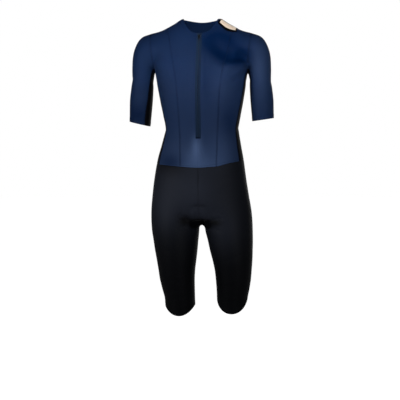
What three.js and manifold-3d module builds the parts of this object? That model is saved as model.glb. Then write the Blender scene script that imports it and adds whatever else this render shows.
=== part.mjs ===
// A short-sleeved triathlon suit, worn and filled out, with nobody in it.
// Millimetres, +Z up, the front faces -Y, and the wearer's left is +X.
// The origin is the middle of the neck opening at the height of the shoulder line.
// The suit's form is one smooth field, negative inside and zero on the cloth's outer face.
// Each cut piece is a grid of points on that face between its own seams, given a wall inwards.

import * as THREE from "three";
import { mergeVertices } from "three/addons/utils/BufferGeometryUtils.js";
import Module from "manifold-3d";

const manifold = await Module();
manifold.setup();

// Cloth and seams
const WALL = 1.6;
const SEAM_GAP = 0.36;
const LAID_ON_GAP = 0.3;

// Trunk: horizontal sections from the shoulders to the crotch, swayed a little as it is worn
const TRUNK = [
  { z: 40, half: 150, front: 44, back: 52, power: 2.1, sway: 0 },
  { z: 0, half: 158, front: 70, back: 76, power: 2.2, sway: 0 },
  { z: -40, half: 163, front: 92, back: 96, power: 2.3, sway: 0 },
  { z: -80, half: 164, front: 106, back: 108, power: 2.35, sway: 0 },
  { z: -130, half: 161.5, front: 115, back: 115, power: 2.35, sway: 0 },
  { z: -190, half: 154.5, front: 118, back: 112, power: 2.3, sway: 1.5 },
  { z: -250, half: 144.5, front: 113, back: 101, power: 2.25, sway: 2.5 },
  { z: -300, half: 135, front: 105, back: 90, power: 2.2, sway: 3 },
  { z: -345, half: 128, front: 98, back: 84, power: 2.2, sway: 3.5 },
  { z: -400, half: 138, front: 98, back: 87, power: 2.2, sway: 1 },
  { z: -450, half: 149.5, front: 102, back: 97, power: 2.25, sway: -1.5 },
  { z: -520, half: 160.5, front: 106, back: 113, power: 2.3, sway: -3 },
  { z: -590, half: 170, front: 106, back: 123, power: 2.3, sway: -1.5 },
  { z: -650, half: 175, front: 100, back: 122, power: 2.3, sway: 0 },
  { z: -700, half: 176, front: 92, back: 112, power: 2.3, sway: 0 },
];

// Legs: horizontal sections round each leg's own middle line, which the worn pose sets
const LEG = [
  { z: -580, half: 84, front: 98, back: 118, middleY: 2, middleRight: -92, middleLeft: 94 },
  { z: -650, half: 84, front: 98, back: 112, middleY: 5, middleRight: -92, middleLeft: 95.5 },
  { z: -700, half: 83, front: 96, back: 103, middleY: 7, middleRight: -91, middleLeft: 97.5 },
  { z: -735, half: 79, front: 92, back: 97, middleY: 8, middleRight: -90, middleLeft: 102 },
  { z: -770, half: 75, front: 87, back: 91, middleY: 9, middleRight: -89, middleLeft: 105.5 },
  { z: -805, half: 70, front: 81, back: 85, middleY: 10, middleRight: -88, middleLeft: 109.5 },
  { z: -840, half: 65, front: 75, back: 79, middleY: 12, middleRight: -87.5, middleLeft: 112 },
  { z: -875, half: 61.5, front: 70, back: 73, middleY: 14, middleRight: -86, middleLeft: 112.5 },
  { z: -910, half: 57.5, front: 65, back: 68, middleY: 17, middleRight: -82, middleLeft: 111 },
  { z: -945, half: 53.5, front: 61, back: 64, middleY: 20, middleRight: -77.5, middleLeft: 108.5 },
  { z: -1010, half: 52, front: 58, back: 62, middleY: 24, middleRight: -75, middleLeft: 110 },
];
const LEGS_START = -575;
const LEGS_WHOLE = -697;
const LEG_BLEND = 14;

// Arms: horizontal sections round the arm's middle line
const ARM = [
  { z: 0, half: 44, front: 50, back: 56, middle: 166 },
  { z: -30, half: 50, front: 54, back: 60, middle: 173.5 },
  { z: -56, half: 52, front: 57, back: 60, middle: 179 },
  { z: -80, half: 51, front: 57, back: 58, middle: 186 },
  { z: -105, half: 46.5, front: 55, back: 56, middle: 194.5 },
  { z: -140, half: 40.5, front: 52, back: 53, middle: 202 },
  { z: -175, half: 37.5, front: 50, back: 51, middle: 205 },
  { z: -210, half: 39, front: 50, back: 50, middle: 208 },
  { z: -245, half: 40, front: 50, back: 50, middle: 211 },
  { z: -280, half: 39, front: 48, back: 49, middle: 213 },
  { z: -335, half: 36.5, front: 46, back: 47, middle: 216 },
];
const ARM_MIDDLE_Y = 8;
const ARM_BLEND_LOW = 11;
const ARM_BLEND_HIGH = 50;
const ARM_BLEND_LOW_Z = -145;
const ARM_BLEND_HIGH_Z = -70;

// Shoulder line: height of the ridge over each place across, and how fast cloth falls from it
const RIDGE = [
  { x: 0, top: 54, fallFront: 62, fallBack: 93 },
  { x: 66, top: 34, fallFront: 62, fallBack: 96 },
  { x: 96, top: 15.5, fallFront: 75, fallBack: 105 },
  { x: 138, top: -6, fallFront: 100, fallBack: 125 },
  { x: 180, top: -18, fallFront: 110, fallBack: 130 },
  { x: 205, top: -27, fallFront: 110, fallBack: 130 },
  { x: 224, top: -41, fallFront: 110, fallBack: 130 },
  { x: 240, top: -64, fallFront: 110, fallBack: 130 },
];
const RIDGE_Y = 8;
const ROOF_BLEND = 22;
const ROOF_SLOPE = 0.85;

// Neckline and collar
const NECK_SIDE_Z = 33.5;
const NECK_FRONT_Z = -19.5;
const NECK_POWER = 2.9;
const NECK_BACK_Z = 25;
const COLLAR_DROP_SIDE = 8.5;
const COLLAR_DROP_MIDDLE = 7.5;
const NECK_SIDE_ANGLE = 95;
const NECK_SIDE_STEP = 17;

// Seams of the top: princess seam (x at each height), side panel edges (angle from the front)
const PRINCESS = [
  { z: -490, x: 61 },
  { z: -330, x: 66 },
  { z: -185, x: 76 },
  { z: -80, x: 96 },
  { z: 0, x: 122 },
];
const SIDE_PANEL_TOP_Z = -176;
const SIDE_PANEL = [
  { z: -490, frontAngle: 70.6, backAngle: 112 },
  { z: -300, frontAngle: 73.5, backAngle: 108 },
  { z: SIDE_PANEL_TOP_Z, frontAngle: 76.5, backAngle: 104 },
];
const SHORTS_SIDE_ANGLE = 91;
const FAN_Z = -80;
const ARMHOLE_TOP_X = 174;
const ARMHOLE_BOTTOM_X = 161.5;
const ARMPIT_FRONT_ANGLE = 24;
const ARMPIT_BACK_ANGLE = 35;
const UNDERARM_START = 12;
const WAIST_FRONT_Z = -477.5;
const WAIST_BACK_Z = -474;

// What differs between the wearer's right (-1) and left (1)
const SIDES = [
  {
    name: "right",
    sign: -1,
    waistRise: 10,
    cuffOuterZ: -321,
    cuffInnerZ: -338,
    cuffPanelFront: 121,
    cuffPanelBack: 205,
    hemSideZ: -968,
    hemDrop: 33,
    hemPower: 2,
    legMiddle: "middleRight",
  },
  {
    name: "left",
    sign: 1,
    waistRise: 23,
    cuffOuterZ: -309,
    cuffInnerZ: -320,
    cuffPanelFront: 150,
    cuffPanelBack: 218,
    hemSideZ: -944,
    hemDrop: 47,
    hemPower: 1.3,
    legMiddle: "middleLeft",
  },
];
const HEM_BACK_RISE = 4;
const CROTCH_SHIFT = 2.5;
const CROTCH_STEP = 0.25;
const HIP_TURN_SHARE = 0.55;

// The largest folds: soft ridges (+) and troughs (-) drawn as bowed lines, seen from the front or back
const FOLDS = [
  { facing: -1, fromX: 194, fromZ: -84, toX: 34, toZ: -58, width: 25, height: -9, bow: 16 },
  { facing: -1, fromX: 186, fromZ: -112, toX: 50, toZ: -136, width: 16, height: 4.5, bow: 6 },
  { facing: -1, fromX: 176, fromZ: -148, toX: 102, toZ: -190, width: 14, height: -3, bow: 2 },
  { facing: -1, fromX: -186, fromZ: -112, toX: -104, toZ: -150, width: 14, height: 1.8, bow: -4 },
  { facing: -1, fromX: -44, fromZ: -670, toX: 34, toZ: -670, width: 13, height: -6, bow: 0 },
  { facing: -1, fromX: -30, fromZ: -664, toX: -92, toZ: -634, width: 12, height: -3.2, bow: -4 },
  { facing: -1, fromX: 24, fromZ: -666, toX: 92, toZ: -646, width: 12, height: -3.2, bow: 5 },
  { facing: 1, fromX: 172, fromZ: -112, toX: 96, toZ: -142, width: 16, height: 2.8, bow: 5 },
  { facing: 1, fromX: -172, fromZ: -116, toX: -100, toZ: -148, width: 16, height: 2.4, bow: -5 },
  { facing: 1, fromX: 112, fromZ: -318, toX: 18, toZ: -346, width: 16, height: -2, bow: 6 },
  { facing: 1, fromX: 0, fromZ: -520, toX: 0, toZ: -650, width: 18, height: -2.4, bow: 0 },
];
const FOLD_FADE = 0.32;
const FOLD_EDGE_ON = 0.05;
const FOLD_FACE_ON = 0.5;

// Numbers of strips in each stretch of the panels
const STRIPS = {
  sideSeam: 18,
  armholeSide: 9,
  armpit: 4,
  frontNeck: 5,
  backNeck: 4,
  shoulderInner: 3,
  shoulderOuter: 5,
  sleeve: 11,
  collar: 1,
};
const CROTCH_LEVELS = [-520, -555, -588, -615, -636, -653, -665, -673];
const THIGH_STRIPS = 12;
const LINE_STEPS = 40;
const RELAX_PASSES = 6;

// Zip: tape halves laid on the front edges, a slider near the top and its pull tab on a pin
const ZIP_BOTTOM_Z = -378;
const TAPE_HALF = 9;
const TAPE_THICK = 1;
const SLIDER = { z: -32, topWidth: 9.5, bottomWidth: 7, length: 12, thick: 2.4, corner: 1.6 };
const PIN = { radius: 0.8, up: 2.2 };
const LUG = { thick: 1.3, long: 4.4 };
const PULL_TAB = { width: 4.4, eyeOuter: 2.1, eyeInner: 1.15, thick: 1.4, length: 16.5 };
const PIN_HEIGHT = PULL_TAB.eyeOuter + LAID_ON_GAP;
const ROUND_SIDES = 20;

// Shoulder label, laid over the ridge on the wearer's left
const LABEL_CORNERS = {
  innerFront: { x: 61, y: -22 },
  outerFront: { x: 127, y: -24 },
  innerBack: { x: 70, y: 6 },
  outerBack: { x: 129, y: 6 },
};
const LABEL_FRONT_BOW = 10;
const LABEL_THICK = 0.8;
const LABEL_LIFT = 0.75;
const LABEL_STRIPS = { along: 9, across: 5 };

// Colours, as seen
const NAVY = new THREE.MeshStandardMaterial({ color: 0x1b2f50, roughness: 0.78, metalness: 0 });
const BLACK = new THREE.MeshStandardMaterial({ color: 0x15181f, roughness: 0.72, metalness: 0 });
const TAPE = new THREE.MeshStandardMaterial({ color: 0x172842, roughness: 0.85, metalness: 0 });
const SLIDER_PAINT = new THREE.MeshStandardMaterial({ color: 0x0a1730, roughness: 0.4, metalness: 0.6 });
const LABEL = new THREE.MeshStandardMaterial({ color: 0xcbb8aa, roughness: 0.6, metalness: 0 });

// Searching for the cloth's face: how far a ray marches at a time and at most, and the slope's step
const MARCH_STEP = 1;
const MARCH_FAR = 400;
const SLOPE_STEP = 0.5;
const LEAST_SLOPE = 0.05;
const ARMS_END_Z = -420;

const radians = THREE.MathUtils.degToRad;
const degrees = THREE.MathUtils.radToDeg;
const vector = (x, y, z) => new THREE.Vector3(x, y, z);

// A smooth curve through one column of a table: the slope at a row is taken across its neighbours.
function curveOf(table, key, name) {
  const rows = [...table].sort((a, b) => a[key] - b[key]);
  const at = rows.map((row) => row[key]);
  const value = rows.map((row) => row[name]);
  const last = rows.length - 1;
  const slope = rows.map((_, i) => {
    const before = Math.max(i - 1, 0);
    const after = Math.min(i + 1, last);
    return (value[after] - value[before]) / (at[after] - at[before]);
  });
  return (place) => {
    const p = Math.min(Math.max(place, at[0]), at[last]);
    let i = 0;
    while (i < last - 1 && p > at[i + 1]) i += 1;
    const span = at[i + 1] - at[i];
    const t = (p - at[i]) / span;
    const rise = t * t * (3 - 2 * t);
    return (
      value[i] * (1 - rise) +
      value[i + 1] * rise +
      span * t * (1 - t) * (slope[i] * (1 - t) - slope[i + 1] * t)
    );
  };
}

function curvesOf(table, key) {
  const names = Object.keys(table[0]).filter((name) => name !== key);
  return Object.fromEntries(names.map((name) => [name, curveOf(table, key, name)]));
}

const trunk = curvesOf(TRUNK, "z");
const leg = curvesOf(LEG, "z");
const arm = curvesOf(ARM, "z");
const ridge = curvesOf(RIDGE, "x");
const princessX = curveOf(PRINCESS, "z", "x");
const sidePanel = curvesOf(SIDE_PANEL, "z");

function smoothStep(from, to, value) {
  const t = Math.min(Math.max((value - from) / (to - from), 0), 1);
  return t * t * (3 - 2 * t);
}

// The smaller of two values, rounded over a stretch.
function softMin(a, b, stretch) {
  const near = Math.max(stretch - Math.abs(a - b), 0) / stretch;
  return Math.min(a, b) - (near * near * stretch) / 4;
}

// How far a point lies outside a section with rounded corners.
function outside(x, y, half, depth, power) {
  const reach = Math.hypot(x, y);
  const share = ((Math.abs(x) / half) ** power + (Math.abs(y) / depth) ** power) ** (1 / power);
  return share < 1e-6 ? -half : reach * (1 - 1 / share);
}

function legField(x, y, z, middle) {
  const dy = y - leg.middleY(z);
  return outside(x - leg[middle](z), dy, leg.half(z), dy < 0 ? leg.front(z) : leg.back(z), 2);
}

function armField(x, y, z) {
  const dy = y - ARM_MIDDLE_Y;
  const depth = dy < 0 ? arm.front(z) : arm.back(z);
  return outside(Math.abs(x) - arm.middle(z), dy, arm.half(z), depth, 2);
}

function roofField(x, y, z) {
  const across = Math.abs(x);
  const dy = y - RIDGE_Y;
  const fall = dy < 0 ? ridge.fallFront(across) : ridge.fallBack(across);
  return (z - ridge.top(across) + (dy * dy) / fall) * ROOF_SLOPE;
}

// The whole suit's outer face is where this is zero.
function field(p) {
  const { x, y, z } = p;
  const depth = y < 0 ? trunk.front(z) : trunk.back(z);
  let body = outside(x - trunk.sway(z), y, trunk.half(z), depth, trunk.power(z));
  const legShare = 1 - smoothStep(LEGS_WHOLE, LEGS_START, z);
  if (legShare > 0) {
    const right = legField(x, y, z, "middleRight");
    const left = legField(x, y, z, "middleLeft");
    body += (softMin(right, left, LEG_BLEND) - body) * legShare;
  }
  if (z > ARMS_END_Z) {
    const rise = smoothStep(ARM_BLEND_LOW_Z, ARM_BLEND_HIGH_Z, z);
    const blend = ARM_BLEND_LOW + (ARM_BLEND_HIGH - ARM_BLEND_LOW) * rise;
    body = softMin(body, armField(x, y, z), blend);
  }
  return -softMin(-body, -roofField(x, y, z), ROOF_BLEND);
}

function slopeAt(p) {
  const change = (move) => {
    const rise = field(p.clone().add(move)) - field(p.clone().sub(move));
    return rise / (2 * SLOPE_STEP);
  };
  return vector(
    change(vector(SLOPE_STEP, 0, 0)),
    change(vector(0, SLOPE_STEP, 0)),
    change(vector(0, 0, SLOPE_STEP)),
  );
}

const normalAt = (p) => slopeAt(p).normalize();

// Moves a point along the field's slope until it lies on the cloth's face.
function settle(p) {
  const q = p.clone();
  for (let pass = 0; pass < 12; pass += 1) {
    const slope = slopeAt(q);
    q.addScaledVector(slope, -field(q) / Math.max(slope.lengthSq(), LEAST_SLOPE));
  }
  return q;
}

// The first place where a ray from inside leaves the suit.
function leave(from, direction) {
  const way = direction.clone().normalize();
  const at = (reach) => from.clone().addScaledVector(way, reach);
  let inside = 0;
  let out = MARCH_STEP;
  while (field(at(out)) < 0 && out < MARCH_FAR) {
    inside = out;
    out += MARCH_STEP;
  }
  for (let pass = 0; pass < 20; pass += 1) {
    const middle = (inside + out) / 2;
    if (field(at(middle)) < 0) inside = middle;
    else out = middle;
  }
  return at((inside + out) / 2);
}

// Even steps along a line of points, put back on the cloth's face.
function evenly(points, strips) {
  const reach = [0];
  for (let i = 1; i < points.length; i += 1) {
    reach.push(reach[i - 1] + points[i].distanceTo(points[i - 1]));
  }
  const result = [];
  let i = 0;
  for (let k = 0; k <= strips; k += 1) {
    const goal = (reach[reach.length - 1] * k) / strips;
    while (i < points.length - 2 && reach[i + 1] < goal) i += 1;
    const t = (goal - reach[i]) / (reach[i + 1] - reach[i]);
    const p = points[i].clone().lerp(points[i + 1], t);
    result.push(k === 0 || k === strips ? p : settle(p));
  }
  return result;
}

// A line of points from a function of 0 to 1.
function line(make) {
  return Array.from({ length: LINE_STEPS + 1 }, (_, i) => make(i / LINE_STEPS));
}

const mix = THREE.MathUtils.lerp;
const joined = (first, second) => [...first, ...second.slice(1)];
const turned = (points) => [...points].reverse();

// A grid between four edges. The two side edges run upwards and the others run away from "start".
function patch(bottom, top, start, end) {
  const rows = start.length - 1;
  const columns = bottom.length - 1;
  return start.map((_, i) =>
    bottom.map((__, j) => {
      const u = j / columns;
      const v = i / rows;
      if (i === 0) return bottom[j].clone();
      if (i === rows) return top[j].clone();
      if (j === 0) return start[i].clone();
      if (j === columns) return end[i].clone();
      const p = vector(0, 0, 0);
      p.addScaledVector(bottom[j], 1 - v).addScaledVector(top[j], v);
      p.addScaledVector(start[i], 1 - u).addScaledVector(end[i], u);
      p.addScaledVector(bottom[0], -(1 - u) * (1 - v));
      p.addScaledVector(bottom[columns], -u * (1 - v));
      p.addScaledVector(top[0], -(1 - u) * v);
      p.addScaledVector(top[columns], -u * v);
      return settle(p);
    }),
  );
}

// Evens out a grid's inner points and keeps them on the cloth's face.
function relaxed(grid) {
  for (let pass = 0; pass < RELAX_PASSES; pass += 1) {
    for (let i = 1; i < grid.length - 1; i += 1) {
      for (let j = 1; j < grid[i].length - 1; j += 1) {
        const beside = [grid[i - 1][j], grid[i + 1][j], grid[i][j - 1], grid[i][j + 1]];
        const mean = beside.reduce((sum, p) => sum.add(p), vector(0, 0, 0)).divideScalar(beside.length);
        grid[i][j] = settle(grid[i][j].clone().lerp(mean, 1 / 2));
      }
    }
  }
  return grid;
}

// Draws a grid's sewn edges back by half a seam gap.
function drawnBack(grid, sewn) {
  const rows = grid.length - 1;
  const columns = grid[0].length - 1;
  const moved = grid.map((row) => row.map((p) => p.clone()));
  const shift = (i, j, di, dj) => {
    const p = grid[i][j];
    const along = di
      ? grid[i][Math.min(j + 1, columns)].clone().sub(grid[i][Math.max(j - 1, 0)])
      : grid[Math.min(i + 1, rows)][j].clone().sub(grid[Math.max(i - 1, 0)][j]);
    along.normalize();
    const inwards = grid[i + di][j + dj].clone().sub(p);
    inwards.addScaledVector(along, -inwards.dot(along)).normalize();
    moved[i][j].addScaledVector(inwards, SEAM_GAP / 2);
  };
  for (let j = 0; j <= columns; j += 1) {
    if (sewn.includes("bottom")) shift(0, j, 1, 0);
    if (sewn.includes("top")) shift(rows, j, -1, 0);
  }
  for (let i = 0; i <= rows; i += 1) {
    if (sewn.includes("start")) shift(i, 0, 0, 1);
    if (sewn.includes("end")) shift(i, columns, 0, -1);
  }
  return moved;
}

// A closed wall from two grids of points: the outer face and the inner one.
function shell(outer, inner) {
  const lastRow = outer.length - 1;
  const lastColumn = outer[0].length - 1;
  const positions = [...outer.flat(), ...inner.flat()].flatMap((p) => [p.x, p.y, p.z]);
  const layer = outer.length * outer[0].length;
  const index = [];
  const at = (side, i, j) => side * layer + i * outer[0].length + j;
  const quad = (a, b, c, d) => index.push(a, b, c, a, c, d);
  for (let i = 0; i < lastRow; i += 1) {
    for (let j = 0; j < lastColumn; j += 1) {
      quad(at(0, i, j), at(0, i, j + 1), at(0, i + 1, j + 1), at(0, i + 1, j));
      quad(at(1, i, j), at(1, i + 1, j), at(1, i + 1, j + 1), at(1, i, j + 1));
    }
    quad(at(0, i, 0), at(0, i + 1, 0), at(1, i + 1, 0), at(1, i, 0));
    quad(at(0, i, lastColumn), at(1, i, lastColumn), at(1, i + 1, lastColumn), at(0, i + 1, lastColumn));
  }
  for (let j = 0; j < lastColumn; j += 1) {
    quad(at(0, 0, j), at(1, 0, j), at(1, 0, j + 1), at(0, 0, j + 1));
    quad(at(0, lastRow, j), at(0, lastRow, j + 1), at(1, lastRow, j + 1), at(1, lastRow, j));
  }
  const row = Math.ceil(lastRow / 2);
  const column = Math.ceil(lastColumn / 2);
  const middle = outer[row][column];
  const across = outer[row][column - 1].clone().sub(middle);
  const along = outer[row - 1][column].clone().sub(middle);
  const wall = inner[row][column].clone().sub(middle);
  if (across.cross(along).dot(wall) > 0) index.reverse();
  const geometry = new THREE.BufferGeometry();
  geometry.setAttribute("position", new THREE.Float32BufferAttribute(positions, 3));
  geometry.setIndex(index);
  return geometry;
}

// A grid moved along the cloth's own normals.
function raised(grid, height) {
  return grid.map((row) => row.map((p) => p.clone().addScaledVector(normalAt(p), height)));
}

// How far the folds move the cloth at a point: a bell across each line, fading towards its ends.
function foldLift(p, normal) {
  return FOLDS.reduce((sum, fold) => {
    const { facing, fromX, fromZ, toX, toZ, width, height, bow } = fold;
    const size = Math.hypot(toX - fromX, toZ - fromZ);
    const wayX = (toX - fromX) / size;
    const wayZ = (toZ - fromZ) / size;
    const t = ((p.x - fromX) * wayX + (p.z - fromZ) * wayZ) / size;
    const aside = (p.z - fromZ) * wayX - (p.x - fromX) * wayZ - 4 * bow * t * (1 - t);
    const ends = smoothStep(0, FOLD_FADE, t) * smoothStep(0, FOLD_FADE, 1 - t);
    const seen = smoothStep(FOLD_EDGE_ON, FOLD_FACE_ON, normal.y * facing);
    return sum + height * Math.exp(-((aside / width) ** 2)) * ends * seen;
  }, 0);
}

const suit = new THREE.Group();
suit.name = "triathlon_suit";

function add(name, geometry, material, parent = suit) {
  const mesh = new THREE.Mesh(geometry, material);
  mesh.name = name;
  parent.add(mesh);
  return mesh;
}

// A panel's wall. Neighbours share the normals along a seam, so their sewn edges stay parallel.
function addPanel(name, grid, sewn, material) {
  const flat = drawnBack(grid, sewn);
  const moved = (depth) =>
    flat.map((row, i) =>
      row.map((p, j) => {
        const normal = normalAt(grid[i][j]);
        return p.clone().addScaledVector(normal, foldLift(grid[i][j], normal) - depth);
      }),
    );
  add(name, shell(moved(0), moved(WALL)), material);
}

// Neckline height round the neck: a U in front, a shallow dip behind.
function necklineZ(angle) {
  const cos = Math.cos(radians(angle));
  const sin = Math.sin(radians(angle));
  if (cos > 0) return mix(NECK_FRONT_Z, NECK_SIDE_Z, Math.abs(sin) ** NECK_POWER);
  return mix(NECK_SIDE_Z, NECK_BACK_Z, cos * cos);
}

function neckPoint(side, angle, drop) {
  const collarDrop = COLLAR_DROP_SIDE + COLLAR_DROP_MIDDLE * Math.abs(Math.cos(radians(angle)));
  return ringPoint(side, angle, necklineZ(angle) - collarDrop * drop);
}

function neckAngles() {
  const lastFront = NECK_SIDE_ANGLE - NECK_SIDE_STEP;
  const { frontNeck, backNeck } = STRIPS;
  const front = Array.from({ length: frontNeck }, (_, k) => (lastFront * k) / (frontNeck - 1));
  const back = Array.from({ length: backNeck + 1 }, (_, k) => mix(NECK_SIDE_ANGLE, 180, k / backNeck));
  return { front: [...front, NECK_SIDE_ANGLE], back };
}

function waistZ(side, angle) {
  const sin = Math.sin(radians(angle));
  const middle = Math.cos(radians(angle)) > 0 ? WAIST_FRONT_Z : WAIST_BACK_Z;
  return mix(middle, WAIST_FRONT_Z + side.waistRise, sin * sin);
}

function ringPoint(side, angle, z) {
  const way = vector(side.sign * Math.sin(radians(angle)), -Math.cos(radians(angle)), 0);
  return leave(vector(0, 0, z), way);
}

const waistLine = (side, from, to) =>
  line((t) => ringPoint(side, mix(from, to, t), waistZ(side, mix(from, to, t))));

// The ridge of the shoulder at a place across.
const ridgePoint = (side, x) => leave(vector(side.sign * x, RIDGE_Y, FAN_Z), vector(0, 0, 1));

// Princess seam from the waist up the front and over to the shoulder ridge.
function princessLine(side) {
  const upFront = line((t) => {
    const z = mix(WAIST_FRONT_Z, FAN_Z, t);
    return leave(vector(side.sign * princessX(z), RIDGE_Y, z), vector(0, -1, 0));
  });
  const bottom = upFront[0];
  const angle = degrees(Math.atan2(Math.abs(bottom.x), -bottom.y));
  upFront[0] = ringPoint(side, angle, waistZ(side, angle));
  const overShoulder = line((t) => {
    const lean = radians(90 * t);
    const x = side.sign * princessX(FAN_Z * (1 - t));
    return leave(vector(x, RIDGE_Y, FAN_Z), vector(0, -Math.cos(lean), Math.sin(lean)));
  });
  return { points: joined(upFront, overShoulder), waistAngle: angle };
}

// The armhole: a tilted ring from the shoulder's end to the armpit.
function armhole(side) {
  const top = ridgePoint(side, ARMHOLE_TOP_X);
  const bottom = leave(vector(side.sign * ARMHOLE_BOTTOM_X, RIDGE_Y, FAN_Z), vector(0, 0, -1));
  return { top, bottom };
}

// A point of a sleeve's ring between its top and its underarm: angle 0 is the top, 90 the front.
function sleevePoint(top, bottom, angle) {
  const middle = top.clone().add(bottom).multiplyScalar(0.5);
  const way = top.clone().sub(bottom).setLength(Math.cos(radians(angle)));
  way.y -= Math.sin(radians(angle));
  return leave(middle, way);
}

function sleeveLines(side) {
  const { top, bottom } = armhole(side);
  const crown = line((t) => {
    const lean = radians(90 * t);
    const way = vector(side.sign * Math.sin(lean), 0, Math.cos(lean));
    return leave(vector(side.sign * ARMHOLE_TOP_X, RIDGE_Y, FAN_Z), way);
  });
  const outerArm = line((t) => {
    const z = mix(FAN_Z, side.cuffOuterZ, t);
    return leave(vector(side.sign * arm.middle(z), RIDGE_Y, z), vector(side.sign, 0, 0));
  });
  const firstInnerZ = bottom.z - UNDERARM_START;
  const innerArm = line((t) => {
    const z = mix(firstInnerZ, side.cuffInnerZ, t);
    return leave(vector(side.sign * arm.middle(z), RIDGE_Y, z), vector(-side.sign, 0, 0));
  });
  return {
    outer: evenly(joined([top, ...crown.slice(1)], outerArm), STRIPS.sleeve),
    inner: evenly([bottom, ...innerArm], STRIPS.sleeve),
  };
}

function makeTop(side) {
  const { top, bottom } = armhole(side);
  const ring = (from, to, strips) =>
    evenly(line((t) => sleevePoint(top, bottom, mix(from, to, t))), strips);
  const armFront = ring(180 - ARMPIT_FRONT_ANGLE, 0, STRIPS.armholeSide);
  const armBack = ring(180 + ARMPIT_BACK_ANGLE, 360, STRIPS.armholeSide);
  const armpit = ring(180 - ARMPIT_FRONT_ANGLE, 180 + ARMPIT_BACK_ANGLE, STRIPS.armpit);
  const rows = STRIPS.sideSeam + STRIPS.armholeSide;

  const sideEdge = (name, corner) => {
    const waistAngle = sidePanel[name](WAIST_FRONT_Z);
    const up = line((t) => {
      const z = mix(waistZ(side, waistAngle), SIDE_PANEL_TOP_Z, t);
      return ringPoint(side, sidePanel[name](z), z);
    });
    up[0] = ringPoint(side, waistAngle, waistZ(side, waistAngle));
    return evenly([...up, corner], STRIPS.sideSeam);
  };
  const frontEdge = sideEdge("frontAngle", armFront[0]);
  const backEdge = sideEdge("backAngle", armBack[0]);

  const { points: princessPoints, waistAngle: princessAngle } = princessLine(side);
  const princess = evenly(princessPoints, rows);
  const angles = neckAngles();
  const collarSeam = angles.front.map((angle) => neckPoint(side, angle, 1));
  const collarSeamBack = angles.back.map((angle) => neckPoint(side, angle, 1));
  const neckSide = collarSeam[collarSeam.length - 1];
  const princessTop = princess[rows];
  const shoulderLine = (from, to, strips, first, final) => {
    const points = line((t) => ridgePoint(side, mix(from, to, t)));
    points[0] = first;
    points[points.length - 1] = final;
    return evenly(points, strips);
  };
  const shoulderInner = shoulderLine(
    Math.abs(neckSide.x), Math.abs(princessTop.x), STRIPS.shoulderInner, neckSide, princessTop,
  );
  const shoulderOuter = shoulderLine(
    Math.abs(princessTop.x), ARMHOLE_TOP_X, STRIPS.shoulderOuter, princessTop, top,
  );
  const middleFront = evenly(
    line((t) => ringPoint(side, 0, mix(WAIST_FRONT_Z, collarSeam[0].z, t))), rows,
  );
  const middleBack = evenly(
    line((t) => ringPoint(side, 180, mix(WAIST_BACK_Z, collarSeamBack[STRIPS.backNeck].z, t))), rows,
  );

  const centreColumns = STRIPS.frontNeck + STRIPS.shoulderInner;
  const waist = {
    centre: evenly(waistLine(side, 0, princessAngle), centreColumns),
    side: evenly(waistLine(side, princessAngle, sidePanel.frontAngle(WAIST_FRONT_Z)), STRIPS.shoulderOuter),
    flankFront: evenly(
      waistLine(side, sidePanel.frontAngle(WAIST_FRONT_Z), SHORTS_SIDE_ANGLE), STRIPS.armpit / 2,
    ),
    flankBack: evenly(
      waistLine(side, SHORTS_SIDE_ANGLE, sidePanel.backAngle(WAIST_FRONT_Z)), STRIPS.armpit / 2,
    ),
    back: evenly(
      waistLine(side, sidePanel.backAngle(WAIST_FRONT_Z), 180),
      STRIPS.backNeck + STRIPS.shoulderInner + STRIPS.shoulderOuter,
    ),
  };
  waist.centre[centreColumns] = princess[0];
  waist.side[0] = princess[0];

  return {
    waist,
    collarSeam,
    collarSeamBack,
    angles,
    armFront,
    armBack,
    armpit,
    frontCentre: relaxed(
      patch(waist.centre, joined(collarSeam, shoulderInner), middleFront, princess),
    ),
    frontSide: relaxed(patch(waist.side, shoulderOuter, princess, joined(frontEdge, armFront))),
    sidePanel: relaxed(
      patch(joined(waist.flankFront, waist.flankBack), armpit, frontEdge, backEdge),
    ),
    back: relaxed(
      patch(
        turned(waist.back),
        joined(joined(turned(collarSeamBack), shoulderInner), shoulderOuter),
        middleBack,
        joined(backEdge, armBack),
      ),
    ),
  };
}

// A sleeve's panel between two angles at the armhole and two at the cuff, from the cuff upwards.
function sleevePanel(side, top, fromCuff, toCuff) {
  const { outer, inner } = sleeveLines(side);
  const columns = top.length - 1;
  const middle = outer[0].clone().add(inner[0]).multiplyScalar(0.5);
  const up = outer[0].clone().sub(inner[0]).normalize();
  let before = null;
  const topAngles = top.map((p) => {
    const way = p.clone().sub(middle);
    let angle = degrees(Math.atan2(-way.y, way.dot(up)));
    while (before !== null && angle - before > 180) angle -= 360;
    while (before !== null && angle - before < -180) angle += 360;
    before = angle;
    return angle;
  });
  const fullTurn = Math.round((fromCuff - topAngles[0]) / 360) * 360;
  const grid = outer.map((_, k) => {
    const share = smoothStep(0, STRIPS.sleeve, k);
    return top.map((p, j) => {
      if (k === 0) return p.clone();
      const cuffAngle = mix(fromCuff, toCuff, j / columns);
      return sleevePoint(outer[k], inner[k], mix(topAngles[j] + fullTurn, cuffAngle, share));
    });
  });
  return turned(grid);
}

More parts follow.
